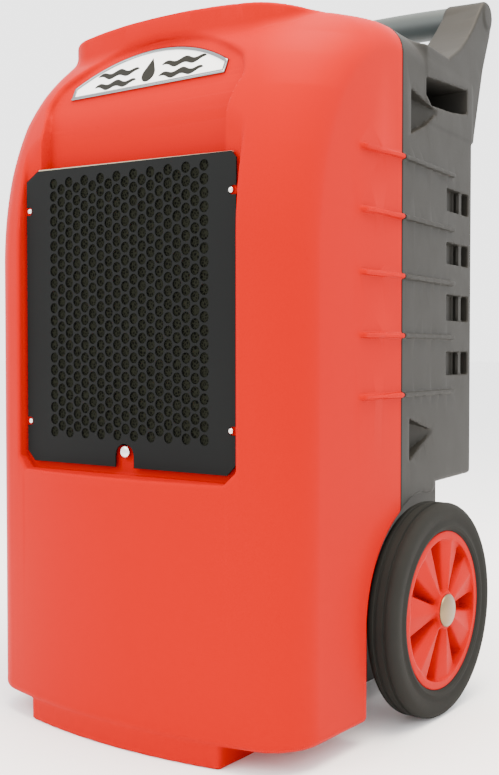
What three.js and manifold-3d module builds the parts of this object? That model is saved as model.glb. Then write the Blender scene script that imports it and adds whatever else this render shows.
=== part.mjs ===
// Portable refrigerant dehumidifier: two moulded shells, two solid-tyred wheels, a lift-off
// intake cover and the refrigeration, fan and condensate parts inside.
// Millimetres, +Z up, -Y is the front (air intake), +Y the back (handle, controls).
import * as THREE from 'three';
import { mergeVertices } from 'three/addons/utils/BufferGeometryUtils.js';
import Module from 'manifold-3d';

const wasm = await Module();
wasm.setup();

// ---------------------------------------------------------------- driving dimensions
const GAP = 0.3; // between pieces that touch
const WALL = 5; // moulded shell wall
const MIDDLE_Y = 297.7; // depth of the middle of the whole machine behind the cover plate

// Shell outline seen from above, depth measured back from the face of the cover plate
const FRONT_Y = -32;
const BOW_RADIUS = 870;
const FRONT_CORNER = 95;
const PARTING_Y = 258;
const PARTING_X = 268;
const FRONT_TAPER = 0.02;
const REAR_TAPER = 0.095;
const REAR_Y = 542;
const REAR_CORNER = 16;

// Shell heights and the round of its top
const BODY_BOTTOM = 29;
const BODY_TOP = 955;
const BROW_START = 650; // where the front begins to lean back
const BROW_DEPTH = 180;
const SHOULDER_RADIUS = 65;
const CHEEK_START = 660; // where the front corners begin to lean back
const CHEEK_DEPTH = 131;
const CHEEK_REACH = 191; // corner support distance along the cheek direction
const CHEEK_ANGLE = 0.63; // radians from the X axis towards the front
const REAR_TOP_RADIUS = 24;

// Raised crown on top
const CROWN_Y = 66;
const CROWN_BOW = 900;
const CROWN_CORNER = 60;
const CROWN_X = 200;
const CROWN_BASE = 870;
const CROWN_TOP = 958;
const CROWN_BACK = 470;

// Foot under the front
const PLINTH_X = 165;
const PLINTH_FRONT = -29;
const PLINTH_BOW = 800;
const PLINTH_BACK = 90;

// Intake cover and its pocket
const COVER_X = 182;
const COVER_LOW = 360;
const COVER_HIGH = 755;
const COVER_CHAMFER = 14;
const COVER_THICK = 2;
const POCKET_MARGIN = 6;
const POCKET_LOW = 350;
const POCKET_HIGH = 800;
const POCKET_Y = 7; // depth of the pocket floor behind the cover's face
const BOSS_RADIUS = 8;
const PANEL_Y = 24; // depth of the recess above the cover
const PANEL_LEAN = 0.49;
const PANEL_BEND = 827; // where the recess floor begins to lean back
const PANEL_SOFTNESS = 20;
const PANEL_EDGE = [[160, 800], [163, 830], [168, 850], [163, 866], [148, 884], [100, 909], [52, 923]];
const WINDOW_X = 150;
const WINDOW_LOW = 388;
const WINDOW_HIGH = 742;
const NOTCH_HALF = 16;
const NOTCH_TOP = 391;
const SCREW_X = 175;
const SCREW_HEIGHTS = { lower: 415, upper: 706 };
const SCREW = { shank: 3, hole: 3.4, head: 5, proud: 3 };
const STUD = { rise: 5, proud: 3 };
const PAD_DEPTH = 12;

// Badge
const BADGE_X = 134;
const BADGE_LOW = 861;
const BADGE_END = 879;
const BADGE_HIGH = 917;
const BADGE_RIM = 5;
const RIM_PROUD = 4;
const FACE_PROUD = 2.5;

// Side ribs
const RIB_HEIGHTS = [453, 533, 613, 693, 773];
const RIB_HALF = 3.5;
const RIB_PROUD = 4;
const RIB_FRONT_Y = 165;
const RIB_BACK_Y = 448;

// Wheels and axle
const WHEEL_Y = 335.5;
const WHEEL_Z = 150;
const TYRE_RADIUS = 150;
const TYRE_INNER = 110.6;
const TYRE_IN_X = 252;
const TYRE_OUT_X = 298;
const TYRE_SHOULDER = 9;
const TYRE_BEVEL = 4;
const GROOVE = 3;
const HUB_IN_X = 256;
const HUB_OUT_X = 294;
const SPOKES = 7;
const AXLE_RADIUS = 8;
const AXLE_END_X = 299;
const BUSH_RADIUS = 13;
const CAP_RADIUS = 23;
const CAP_OUT_X = 306;
const WELL_X = 180;
const WELL_RADIUS = 162;
const WELL_ROOF = 322;
const WELL_ARCH_END = Math.PI * 0.56;
const WELL_ROOF_Y = 386;

// Recesses in the sides of the rear shell: [depth, height] corners and height rows
const TRIANGLES = [
  [[290, 868], [290, 809], [381, 854]],
  [[287, 417], [287, 362], [370, 398]],
];
const TRIANGLE_FLOOR = 250;
const TRIANGLE_LINING = 1.4; // how much larger the wall behind a triangle is
const POCKET_ROWS = [[720, 753], [642, 673], [558, 596], [477, 511]];
const POCKET_FRONT = 425;
const POCKET_BACK = 517;
const POCKET_FLOOR = 226;
const POCKET_BAR = 12;
const HAND_SLOT = { y0: 350, y1: 505, low: 865, high: 898, rise: 10, depth: 30 };

// Handle
const HORN_IN_X = 172;
const HORN_OUT_X = 238;
const BAR_Y = 600;
const BAR_Z = 1048;
const BAR_RADIUS = 24;
const BAR_ARCH = 5.5;
const BAR_SHOULDER = 2; // between the bar's shoulders and the arms
const BAR_END_RADIUS = 17;
const BAR_SOCKET = 22;
const SOCKET_PLAY = 1;

// Air path
const COIL_X = 168;
const COIL_LOW = 384;
const COIL_HIGH = 744;
const EVAPORATOR_Y = 26;
const CONDENSER_Y = 84;
const COIL_DEPTH = 48;
const FINS = 18;
const FIN_ROOT = 4;
const FAN_Z = 566;
const FAN_RADIUS = 152;
const FAN_Y = 176;
const SHROUD_Y = 142;
const MOTOR_Y = 212;
const MOTOR_LENGTH = 84;
const MOTOR_RADIUS = 46;

// Base and refrigeration
const CHASSIS_Z = 36;
const CHASSIS_X = 165;
const SHEET = 3;
const COMPRESSOR_X = -82;
const COMPRESSOR_Y = 118;
const COMPRESSOR_RADIUS = 72;
const COMPRESSOR_BASE = 58;
const COMPRESSOR_TOP = 312;
const CAN_REACH = 78; // from the middle of the compressor to the corners of its foot plate
const GROMMET_REACH = 64;
const GROMMET = { radius: 11, waist: 8, rim: 5 };
const ACCUMULATOR = { x: 24, y: 140, radius: 28, low: 90, high: 270 };
const DRIER = { x: -120, y: 232, radius: 15, low: 170, high: 300 };
const PIPE = 5;
const LIQUID_PIPE = 4;
const VALVE = { half: 11, y0: 60, y1: 92, low: 400, high: 424, coil: 13, top: 462 };
const LIQUID_X = -198; // where the liquid line and its valve stand beside the coils
const CHASSIS_LIP = 22;
const CHASSIS_FRONT = 12;
const BRACKET = { x: 145, half: 24, thick: 4, flange: 24 };

// Condensate
const TRAY = { margin: 6, y0: 22, y1: 137, depth: 28 };
const DRAIN = { x: 110, y: 80, radius: 6, wall: 3, length: 20, inlet: 12 };
const TANK = { x0: 66, x1: 156, y0: 40, y1: 220, z1: 165 };
const LID = 4;
const LID_HOLE_RADIUS = 7;
const FLOAT = { x: 111, y: 175, radius: 22, low: 60, high: 84 };
const STEM = 4;
const PUMP = { x0: 84, x1: 138, y0: 106, y1: 206, height: 46 };
const PUMP_MOTOR = { y: 168, radius: 22, height: 50 };
const PUMP_INTAKE = { y: 128, radius: 6, low: 70 };
const HOSE_RADIUS = 6;

// Rear face
const OUTLET_X = 150;
const OUTLET_LOW = 430;
const OUTLET_HIGH = 700;
const PANEL_HALF_X = 132;
const CONTROL_LOW = 742;
const CONTROL_HIGH = 882;
const PORT_Z = 385;
const PORT_X = 95;
const PORT_RADIUS = 9;
const PORT_IN_Y = 530; // inner end of the hose connector and the cable gland
const FACE_Y = REAR_Y + GAP;
const PLATE = 3;
const FRONT_OF_PANEL = FACE_Y + PLATE + GAP;
const GRILLE = { border: 12, depth: 7, lip: 4, slats: 11, half: 3, post: 3 };
const ROCKER = { x: -88, z: 834, halfX: 9, halfZ: 13, tilt: 0.105 };
const METER = { x: -8, z: 834, halfX: 22, halfZ: 8 };
const BUTTON = { x: 76, z: 842, radius: 8, travel: 3, length: 12 };
const LAMP = { x: -88, z: 790, radius: 5 };
const KNOB = { x: 76, z: 792, radius: 17, depth: 16, gripHalf: 3, gripLow: 13, gripHigh: 15 };
const BEZEL = 4; // thickness of the switch and meter frames
const COLLAR = 3;
const ELECTRICAL = { margin: 14, depth: 58 };

const ROUND = 18; // segments of a small turned part
const WHEEL_ROUND = 28; // segments of a wheel

// ---------------------------------------------------------------- finishes
function finish(color, roughness, metalness = 0) {
  return new THREE.MeshStandardMaterial({ color, roughness, metalness });
}

const RED_PLASTIC = [0xf2483a, 0.42];
const GREY_PLASTIC = [0x6f6e68, 0.5];
const HUB_PLASTIC = [0xe5281f, 0.4];
const TYRE_RUBBER = [0x35332f, 0.8];
const BLACK_METAL = [0x3a3d3f, 0.45, 0.3];
const BRIGHT_STEEL = [0xc9c8c2, 0.3, 1];
const ZINC_STEEL = [0xa6a7a4, 0.45, 0.9];
const COPPER = [0xb8714a, 0.35, 1];
const FIN_ALUMINIUM = [0xb9bdbf, 0.4, 0.9];
const BLACK_PLASTIC = [0x1d1e20, 0.5];
const FOAM = [0x2b2c25, 0.95];
const WHITE_FACE = [0xf2f2ee, 0.35];

// ---------------------------------------------------------------- solids
function solid(geometry) {
  const bare = geometry.index ? geometry.toNonIndexed() : geometry;
  bare.deleteAttribute('normal');
  bare.deleteAttribute('uv');
  const merged = mergeVertices(bare, 1e-3);
  const vertProperties = new Float32Array(merged.attributes.position.array);
  const triVerts = new Uint32Array(merged.index.array);
  return new wasm.Manifold(new wasm.Mesh({ numProp: 3, vertProperties, triVerts }));
}

function geometryOf(manifold) {
  const mesh = manifold.getMesh();
  const geometry = new THREE.BufferGeometry();
  geometry.setAttribute('position', new THREE.BufferAttribute(mesh.vertProperties, 3));
  geometry.setIndex(new THREE.BufferAttribute(mesh.triVerts, 1));
  return geometry;
}

const machine = new THREE.Group();
machine.position.set(0, -MIDDLE_Y, 0);

function add(name, manifold, look) {
  const mesh = new THREE.Mesh(geometryOf(manifold), finish(...look));
  mesh.name = name;
  machine.add(mesh);
}

// An outline in the plane of two axes, pushed along their cross product
function prism(points, across, up, start, length) {
  const shape = new THREE.Shape(points.map(([u, v]) => new THREE.Vector2(u, v)));
  const geometry = new THREE.ExtrudeGeometry(shape, { depth: length, bevelEnabled: false });
  const along = new THREE.Vector3().crossVectors(across, up);
  const origin = along.clone().multiplyScalar(start);
  geometry.applyMatrix4(new THREE.Matrix4().makeBasis(across, up, along).setPosition(origin));
  return solid(geometry);
}

const X = new THREE.Vector3(1, 0, 0);
const Y = new THREE.Vector3(0, 1, 0);
const Z = new THREE.Vector3(0, 0, 1);

const prismZ = (points, z0, z1) => prism(points, X, Y, z0, z1 - z0); // outline in X, Y
const prismX = (points, x0, x1) => prism(points, Y, Z, x0, x1 - x0); // outline in Y, Z
const prismY = (points, y0, y1) => prism(points, X, Z, -y1, y1 - y0); // outline in X, Z

function box(x0, x1, y0, y1, z0, z1) {
  const geometry = new THREE.BoxGeometry(x1 - x0, y1 - y0, z1 - z0);
  geometry.translate((x0 + x1) / 2, (y0 + y1) / 2, (z0 + z1) / 2);
  return solid(geometry);
}

// A turned part: profile of [radius, station] pairs, closed on itself or on the axis
function turned(profile, axis, centre, segments = ROUND) {
  const points = profile.map(([radius, station]) => new THREE.Vector2(radius, station));
  const geometry = new THREE.LatheGeometry(points, segments);
  geometry.applyQuaternion(new THREE.Quaternion().setFromUnitVectors(Y, axis));
  geometry.translate(...centre);
  return solid(geometry);
}

// Turned about `axis`, whole stations from..to of one radius
function rod(radius, axis, from, to, centre, segments = ROUND) {
  return turned([[0, from], [radius, from], [radius, to], [0, to]], axis, centre, segments);
}

function ring(outer, inner, axis, from, to, centre, segments = ROUND) {
  const profile = [[inner, from], [outer, from], [outer, to], [inner, to], [inner, from]];
  return turned(profile, axis, centre, segments);
}

function pipe(points, radius, steps) {
  const path = new THREE.CatmullRomCurve3(points.map((p) => new THREE.Vector3(...p)));
  const section = new THREE.Shape().absarc(0, 0, radius, 0, 2 * Math.PI);
  const options = { steps, curveSegments: 4, bevelEnabled: false, extrudePath: path };
  return solid(new THREE.ExtrudeGeometry(section, options));
}

function arc(cx, cy, radius, from, to, segments, squash = 1) {
  const points = [];
  for (let i = 0; i <= segments; i += 1) {
    const angle = from + ((to - from) * i) / segments;
    points.push([cx + radius * Math.cos(angle), cy + radius * squash * Math.sin(angle)]);
  }
  return points;
}

const mirrored = (points) => points.map(([x, y]) => [-x, y]).reverse();
const joined = (list) => list.reduce((whole, piece) => whole.add(piece));

// Right half of a bowed front with round corners: front arc, corner arc, then the side
function bowedHalf(apex, bow, corner, sideX, sideY, taper, inset, backY) {
  const lean = Math.hypot(1, taper);
  const normal = [1 / lean, -taper / lean];
  const along = [taper / lean, 1 / lean];
  const reach = (sideX - taper * sideY) / lean - corner;
  const base = [normal[0] * reach, normal[1] * reach - (apex + bow)];
  const half = base[0] * along[0] + base[1] * along[1];
  const rest = base[0] ** 2 + base[1] ** 2 - (bow - corner) ** 2;
  const shift = -half - Math.sqrt(half * half - rest);
  const cx = normal[0] * reach + along[0] * shift;
  const cy = normal[1] * reach + along[1] * shift;
  const start = Math.atan2(cy - apex - bow, cx);
  const end = Math.atan2(normal[1], normal[0]);
  const front = arc(0, apex + bow, bow - inset, -Math.PI / 2, start, 6);
  const round = arc(cx, cy, corner - inset, start, end, 7).slice(1);
  const backX = sideX + taper * (backY - sideY) - inset;
  return [...front, ...round, [backX, backY]];
}

// ---------------------------------------------------------------- moulded body, both shells
function planOutline(inset) {
  const front = bowedHalf(
    FRONT_Y, BOW_RADIUS, FRONT_CORNER, PARTING_X, PARTING_Y, FRONT_TAPER, inset, PARTING_Y);
  const turn = Math.atan(REAR_TAPER);
  const cy = REAR_Y - REAR_CORNER;
  const cx = PARTING_X - REAR_TAPER * (cy - PARTING_Y) - REAR_CORNER / Math.cos(turn);
  const rear = arc(cx, cy, REAR_CORNER - inset, turn, Math.PI / 2, 5);
  const right = [...front, ...rear];
  return [...right, ...mirrored(right.slice(1))];
}

function sideOutline(inset) {
  const top = BODY_TOP - inset;
  const brow = arc(
    FRONT_Y + BROW_DEPTH, BROW_START, BROW_DEPTH - inset, Math.PI, Math.PI / 2, 12,
    (top - BROW_START) / (BROW_DEPTH - inset));
  const radius = REAR_TOP_RADIUS - inset;
  const back = arc(REAR_Y - REAR_TOP_RADIUS, top - radius, radius, Math.PI / 2, 0, 5);
  return [[FRONT_Y + inset, BODY_BOTTOM], ...brow, ...back, [REAR_Y - inset, BODY_BOTTOM]];
}

function frontOutline(inset) {
  const radius = SHOULDER_RADIUS - inset;
  const cx = PARTING_X - SHOULDER_RADIUS;
  const cz = BODY_TOP - SHOULDER_RADIUS;
  const right = [[PARTING_X - inset, BODY_BOTTOM], ...arc(cx, cz, radius, 0, Math.PI / 2, 7)];
  return [...right, ...mirrored(right)];
}

// Leans the two front corners back, seen along the cheek direction
function cheek(side, inset) {
  const across = new THREE.Vector3(side * Math.cos(CHEEK_ANGLE), -Math.sin(CHEEK_ANGLE), 0);
  const far = -2 * REAR_Y;
  const top = BODY_TOP - inset;
  const depth = CHEEK_DEPTH - inset;
  const curve = arc(
    CHEEK_REACH - CHEEK_DEPTH, CHEEK_START, depth, 0, Math.PI / 2, 10,
    (top - CHEEK_START) / depth);
  const points = [[far, BODY_BOTTOM], [CHEEK_REACH - inset, BODY_BOTTOM], ...curve, [far, top]];
  return prism(points, across, Z, -2 * REAR_Y, 4 * REAR_Y);
}

const beyond = 2 * REAR_Y;

function crown(inset) {
  const half = bowedHalf(
    CROWN_Y, CROWN_BOW, CROWN_CORNER, CROWN_X, PARTING_Y, 0, inset, CROWN_BACK - inset);
  return prismZ([...half, ...mirrored(half.slice(1))], CROWN_BASE, CROWN_TOP - inset);
}

function body(inset) {
  const plan = prismZ(planOutline(inset), BODY_BOTTOM + inset, BODY_TOP - inset);
  const shape = plan
    .intersect(prismX(sideOutline(inset), -beyond, beyond))
    .intersect(prismY(frontOutline(inset), -beyond, beyond))
    .intersect(cheek(1, inset))
    .intersect(cheek(-1, inset));
  return shape.add(crown(inset));
}

function plinth(inset) {
  const depth = PLINTH_BOW - Math.sqrt(PLINTH_BOW ** 2 - PLINTH_X ** 2);
  const spread = Math.asin(PLINTH_X / PLINTH_BOW);
  const front = arc(
    0, PLINTH_FRONT + PLINTH_BOW, PLINTH_BOW - inset, -Math.PI / 2, -Math.PI / 2 + spread, 5);
  const right = [
    ...front.slice(0, -1),
    [PLINTH_X - inset, PLINTH_FRONT + depth + inset],
    [PLINTH_X - inset, PLINTH_BACK - inset],
  ];
  return prismZ([...right, ...mirrored(right.slice(1))], inset, BODY_BOTTOM + WALL + inset);
}

// Space for a wheel, seen from the side: upright in front, round above the axle, flat behind
function wellOutline(grow) {
  const radius = WELL_RADIUS + grow;
  const arch = arc(WHEEL_Y, WHEEL_Z, radius, Math.PI, WELL_ARCH_END, 10);
  const front = WHEEL_Y - radius;
  const back = REAR_Y + 4 * WALL;
  const roof = WELL_ROOF + grow;
  return [[front, 0], ...arch, [WELL_ROOF_Y, roof], [back, roof], [back, 0]];
}

function wells(grow) {
  const right = prismX(wellOutline(grow), WELL_X - grow, 2 * PARTING_X);
  const left = prismX(wellOutline(grow), -2 * PARTING_X, -WELL_X + grow);
  return right.add(left);
}

const axleHole = rod(AXLE_RADIUS + 1, X, -beyond, beyond, [0, WHEEL_Y, WHEEL_Z]);
const hollowBody = body(0)
  .add(plinth(0))
  .subtract(wells(0))
  .subtract(body(WALL).add(plinth(WALL)).subtract(wells(WALL)))
  .subtract(axleHole);
const frontSpace = box(-beyond, beyond, -beyond, PARTING_Y - GAP / 2, -1, beyond);
const rearSpace = box(-beyond, beyond, PARTING_Y + GAP / 2, beyond, -1, beyond);

function ribs(fromY, toY) {
  const bands = RIB_HEIGHTS.map((z) => {
    const slice = prismZ(planOutline(-RIB_PROUD), z - RIB_HALF, z + RIB_HALF);
    const right = box(PARTING_X / 2, beyond, fromY, toY, 0, beyond);
    const left = box(-beyond, -PARTING_X / 2, fromY, toY, 0, beyond);
    return slice.intersect(right.add(left)).subtract(body(WALL / 2));
  });
  return joined(bands);
}

// ---------------------------------------------------------------- front shell
function coverOutline(margin, lowest, highest) {
  const half = COVER_X + margin;
  const cut = COVER_CHAMFER;
  const right = [
    [half - cut, lowest], [half, lowest + cut], [half, highest - cut], [half - cut, highest],
  ];
  return [...right, ...mirrored(right)];
}

// Depth of the recess floor: upright behind the cover, then leaning back under the badge
function panelFloor(z) {
  const rise = z - PANEL_BEND;
  return PANEL_Y + (PANEL_LEAN * (rise + Math.hypot(rise, PANEL_SOFTNESS))) / 2;
}

// Everything in front of the recess floor, moved back by `shift`
function beforePanel(shift) {
  const profile = [];
  for (let z = POCKET_LOW; z <= BODY_TOP; z += 11) profile.push([panelFloor(z) + shift, z]);
  return prismX([...profile, [-beyond, BODY_TOP], [-beyond, POCKET_LOW]], -beyond, beyond);
}

function panelOutline(margin) {
  const right = PANEL_EDGE.map(([x, z]) => [x + margin, z + (z > PANEL_BEND ? margin : 0)]);
  const top = right[right.length - 1];
  const outline = [[right[0][0], COVER_HIGH - margin], ...right, [0, top[1] + margin]];
  return [...outline, ...mirrored(outline.slice(0, -1))];
}

function screwBoss(x, z) {
  return rod(BOSS_RADIUS, Y, COVER_THICK + GAP, POCKET_Y + WALL, [x, 0, z]);
}

function frontShell() {
  const pocket = coverOutline(POCKET_MARGIN, POCKET_LOW, POCKET_HIGH);
  const lining = prismY(coverOutline(POCKET_MARGIN + WALL, POCKET_LOW - WALL, POCKET_HIGH + WALL),
    FRONT_Y, POCKET_Y + WALL);
  const behindPanel = prismY(panelOutline(WALL), FRONT_Y, beyond).intersect(beforePanel(WALL));
  const backing = lining.add(behindPanel).intersect(body(0));
  const panel = prismY(panelOutline(0), -beyond, beyond).intersect(beforePanel(0));
  const window = box(
    -WINDOW_X, WINDOW_X, -WALL, POCKET_Y + 2 * WALL, WINDOW_LOW, WINDOW_HIGH);
  const bosses = screwPlaces().map(([, x, z]) => screwBoss(x, z));
  return hollowBody
    .intersect(frontSpace)
    .add(backing)
    .subtract(prismY(pocket, -beyond, POCKET_Y))
    .subtract(panel)
    .subtract(window)
    .add(joined(bosses))
    .add(ribs(RIB_FRONT_Y, PARTING_Y - GAP / 2));
}

// ---------------------------------------------------------------- rear shell and handle
function hornOutline(inset) {
  const shape = new THREE.Shape();
  shape.moveTo(REAR_Y - WALL - inset, 830);
  shape.lineTo(564 - inset, 905);
  shape.lineTo(626 - inset, 1042);
  shape.quadraticCurveTo(632 - inset, 1056 - inset, 612 - inset, 1066 - inset);
  shape.lineTo(592, 1069 - inset);
  shape.quadraticCurveTo(578 + inset, 1066 - inset, 572 + inset, 1050 - inset);
  shape.bezierCurveTo(550 + inset, 1005, 515, 957 - inset, 440, 955 - inset);
  shape.lineTo(440, 900);
  return shape.getPoints(5).map((point) => [point.x, point.y]);
}

// An outline in Y, Z between two distances from the middle, on one side
function sidePrism(side, points, from, to) {
  return side > 0 ? prismX(points, from, to) : prismX(points, -to, -from);
}

function sidePair(points, from, to) {
  return prismX(points, from, to).add(prismX(points, -to, -from));
}

// An outline scaled up about its middle, for the lining behind a recess
function grown(points) {
  const middle = [0, 1].map((axis) => points.reduce((sum, p) => sum + p[axis], 0) / points.length);
  const spread = (value, axis) => middle[axis] + TRIANGLE_LINING * (value - middle[axis]);
  return points.map((p) => p.map(spread));
}

function sideRecess(points, floorX) {
  return sidePair(points, floorX, beyond);
}

function boxOutline(y0, y1, z0, z1) {
  return [[y0, z0], [y1, z0], [y1, z1], [y0, z1]];
}

function barCurve() {
  const end = HORN_IN_X - BAR_SHOULDER;
  return [-1, -0.5, 0, 0.5, 1].map((t) => [t * end, BAR_Y, BAR_Z + BAR_ARCH * (1 - t * t)]);
}

function rearShell() {
  const slot = [
    [HAND_SLOT.y0, HAND_SLOT.low], [HAND_SLOT.y1, HAND_SLOT.low + HAND_SLOT.rise],
    [HAND_SLOT.y1, HAND_SLOT.high + HAND_SLOT.rise], [HAND_SLOT.y0, HAND_SLOT.high],
  ];
  const rows = POCKET_ROWS.map(([z0, z1]) => boxOutline(POCKET_FRONT, POCKET_BACK, z0, z1));
  const linings = POCKET_ROWS.map(([z0, z1]) =>
    boxOutline(POCKET_FRONT - WALL, POCKET_BACK + WALL, z0 - WALL, z1 + WALL));
  const barY = (POCKET_FRONT + POCKET_BACK) / 2;
  const bars = POCKET_ROWS.map(([z0, z1]) =>
    sidePair(boxOutline(barY, barY + POCKET_BAR, z0, z1), POCKET_FLOOR, POCKET_FLOOR + POCKET_BAR));
  const backing = joined([
    ...TRIANGLES.map((points) => sidePair(grown(points), TRIANGLE_FLOOR - WALL, PARTING_X)),
    ...linings.map((points) => sidePair(points, POCKET_FLOOR - WALL, PARTING_X)),
  ]).intersect(body(0));
  const recesses = joined([
    ...TRIANGLES.map((points) => sideRecess(points, TRIANGLE_FLOOR)),
    ...rows.map((points) => sideRecess(points, POCKET_FLOOR)),
  ]);
  const outlet = box(-OUTLET_X, OUTLET_X, REAR_Y - 4 * WALL, beyond, OUTLET_LOW, OUTLET_HIGH);
  const controls = box(
    -PANEL_HALF_X + 2 * WALL, PANEL_HALF_X - 2 * WALL, REAR_Y - 4 * WALL, beyond,
    CONTROL_LOW + 2 * WALL, CONTROL_HIGH - 2 * WALL);
  const ports = [-PORT_X, PORT_X].map((x) =>
    rod(PORT_RADIUS, Y, REAR_Y - 6 * WALL, REAR_Y + 6 * WALL, [x, 0, PORT_Z]));
  const socketEnd = HORN_IN_X + BAR_SOCKET + GAP;
  const socket = rod(
    BAR_END_RADIUS + SOCKET_PLAY, X, -socketEnd, socketEnd, [0, BAR_Y, BAR_Z], WHEEL_ROUND);
  const horns = sidePair(hornOutline(0), HORN_IN_X, HORN_OUT_X).subtract(body(WALL));
  return hollowBody
    .intersect(rearSpace)
    .add(backing)
    .add(horns)
    .subtract(recesses)
    .add(joined(bars))
    .add(ribs(PARTING_Y + GAP / 2, RIB_BACK_Y))
    .subtract(sideRecess(slot, POCKET_FLOOR - HAND_SLOT.depth))
    .subtract(outlet)
    .subtract(controls)
    .subtract(joined(ports))
    .subtract(socket);
}

// An arched bar with thinner ends that sit in the sockets of the two arms
function handleBar() {
  const inner = HORN_IN_X - 5 * BAR_SHOULDER;
  const outer = HORN_IN_X + BAR_SOCKET;
  const centre = [0, BAR_Y, BAR_Z];
  const right = rod(BAR_END_RADIUS, X, inner, outer, centre, WHEEL_ROUND);
  const left = rod(BAR_END_RADIUS, X, -outer, -inner, centre, WHEEL_ROUND);
  return pipe(barCurve(), BAR_RADIUS, 14).add(right).add(left);
}

// ---------------------------------------------------------------- badge
function badgeOutline(inset) {
  const rise = BADGE_HIGH - BADGE_END;
  const radius = (BADGE_X ** 2 + rise ** 2) / (2 * rise);
  const spread = Math.asin((BADGE_X - inset) / radius);
  const top = arc(
    0, BADGE_HIGH - radius, radius - inset, Math.PI / 2 - spread, Math.PI / 2 + spread, 14);
  return [[-BADGE_X + inset, BADGE_LOW + inset], [BADGE_X - inset, BADGE_LOW + inset], ...top];
}

function badgeRim() {
  const outer = prismY(badgeOutline(0), FRONT_Y, beyond);
  const inner = prismY(badgeOutline(BADGE_RIM), FRONT_Y - 1, beyond + 1);
  const layer = beforePanel(-GAP).subtract(beforePanel(-RIM_PROUD));
  return outer.subtract(inner).intersect(layer);
}

function badgeFace() {
  const layer = beforePanel(-GAP).subtract(beforePanel(-FACE_PROUD));
  return prismY(badgeOutline(BADGE_RIM + GAP), FRONT_Y, beyond).intersect(layer);
}

// ---------------------------------------------------------------- intake cover and filter
function coverPlate() {
  const notch = box(-NOTCH_HALF, NOTCH_HALF, -WALL, WALL, 0, NOTCH_TOP - NOTCH_HALF);
  const arch = rod(NOTCH_HALF, Y, -WALL, WALL, [0, 0, NOTCH_TOP - NOTCH_HALF]);
  const holes = screwPlaces().map(([, x, z]) => rod(SCREW.hole, Y, -WALL, WALL, [x, 0, z], 12));
  return prismY(coverOutline(0, COVER_LOW, COVER_HIGH), 0, COVER_THICK)
    .subtract(notch)
    .subtract(arch)
    .subtract(joined(holes));
}

function screwPlaces() {
  const places = [];
  for (const [row, z] of Object.entries(SCREW_HEIGHTS)) {
    places.push([`cover_screw_${row}_left`, -SCREW_X, z]);
    places.push([`cover_screw_${row}_right`, SCREW_X, z]);
  }
  return places;
}

function coverScrew(x, z) {
  const { shank, head, proud } = SCREW;
  const profile = [[0, -proud], [head - 1, 0.6 - proud], [head, -GAP], [shank, -GAP],
    [shank, COVER_THICK], [0, COVER_THICK]];
  return turned(profile, Y, [x, 0, z], 16);
}

function filterPad() {
  const y0 = COVER_THICK + 2 * GAP;
  const edge = WINDOW_X - 3;
  return box(-edge, edge, y0, y0 + PAD_DEPTH, WINDOW_LOW + 6, WINDOW_HIGH - 3);
}

function notchStud() {
  const back = POCKET_Y - GAP;
  const z = NOTCH_TOP - NOTCH_HALF + STUD.rise;
  const profile = [[0, -STUD.proud], [7, -STUD.proud / 2], [8, back], [0, back]];
  return turned(profile, Y, [0, 0, z], 16);
}

// ---------------------------------------------------------------- wheels
function tyre(side) {
  const middle = (TYRE_IN_X + TYRE_OUT_X) / 2;
  const half = (TYRE_OUT_X - TYRE_IN_X) / 2;
  const shoulder = (sign) => arc(TYRE_RADIUS - TYRE_SHOULDER, sign * (half - TYRE_SHOULDER),
    TYRE_SHOULDER, sign > 0 ? Math.PI / 2 : 0, sign > 0 ? 0 : -Math.PI / 2, 3);
  const floor = TYRE_RADIUS - GROOVE;
  const groove = [[TYRE_RADIUS, 9], [floor, 8], [floor, 5], [TYRE_RADIUS, 4]];
  const tread = [...groove, ...groove.map(([radius, station]) => [radius, -station]).reverse()];
  const outline = [
    [TYRE_INNER, half - TYRE_BEVEL], [TYRE_INNER + TYRE_BEVEL, half], ...shoulder(1), ...tread,
    ...shoulder(-1), [TYRE_INNER + TYRE_BEVEL, -half], [TYRE_INNER, TYRE_BEVEL - half],
    [TYRE_INNER, half - TYRE_BEVEL],
  ];
  const profile = outline.map(([radius, station]) => [radius, -station]);
  return turned(profile, X, [side * middle, WHEEL_Y, WHEEL_Z], WHEEL_ROUND);
}

// Dished hub: rim band, thin web, centre boss and wide spokes that taper to the boss
function hub(side) {
  const rim = TYRE_INNER - GAP;
  const bore = BUSH_RADIUS + GAP;
  const webIn = HUB_IN_X + 10;
  const webOut = webIn + 5;
  const band = [
    [bore, HUB_IN_X], [24, HUB_IN_X], [26, webIn], [rim - 9, webIn], [rim - 7, HUB_IN_X + 3],
    [rim, HUB_IN_X + 3], [rim, HUB_OUT_X], [rim - 6, HUB_OUT_X], [rim - 9, webOut],
    [28, webOut], [24, HUB_OUT_X - 2], [bore, HUB_OUT_X - 2], [bore, HUB_IN_X],
  ];
  const centre = [0, WHEEL_Y, WHEEL_Z];
  const outward = side > 0 ? X : X.clone().negate();
  let shape = turned(band, outward, centre, WHEEL_ROUND);
  for (let i = 0; i < SPOKES; i += 1) {
    const middle = (2 * Math.PI * (i + 0.43)) / SPOKES;
    const wide = arc(WHEEL_Y, WHEEL_Z, rim - 7.5, middle - 0.28, middle + 0.28, 3);
    const narrow = arc(WHEEL_Y, WHEEL_Z, 22, middle + 0.2, middle - 0.2, 1);
    shape = shape.add(sidePrism(side, [...wide, ...narrow], webOut - 1, HUB_OUT_X - 5));
  }
  return shape;
}

function bush(side) {
  const outward = side > 0 ? X : X.clone().negate();
  const centre = [0, WHEEL_Y, WHEEL_Z];
  return ring(BUSH_RADIUS, AXLE_RADIUS + GAP, outward, HUB_IN_X - 1, HUB_OUT_X - 3, centre);
}

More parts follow.
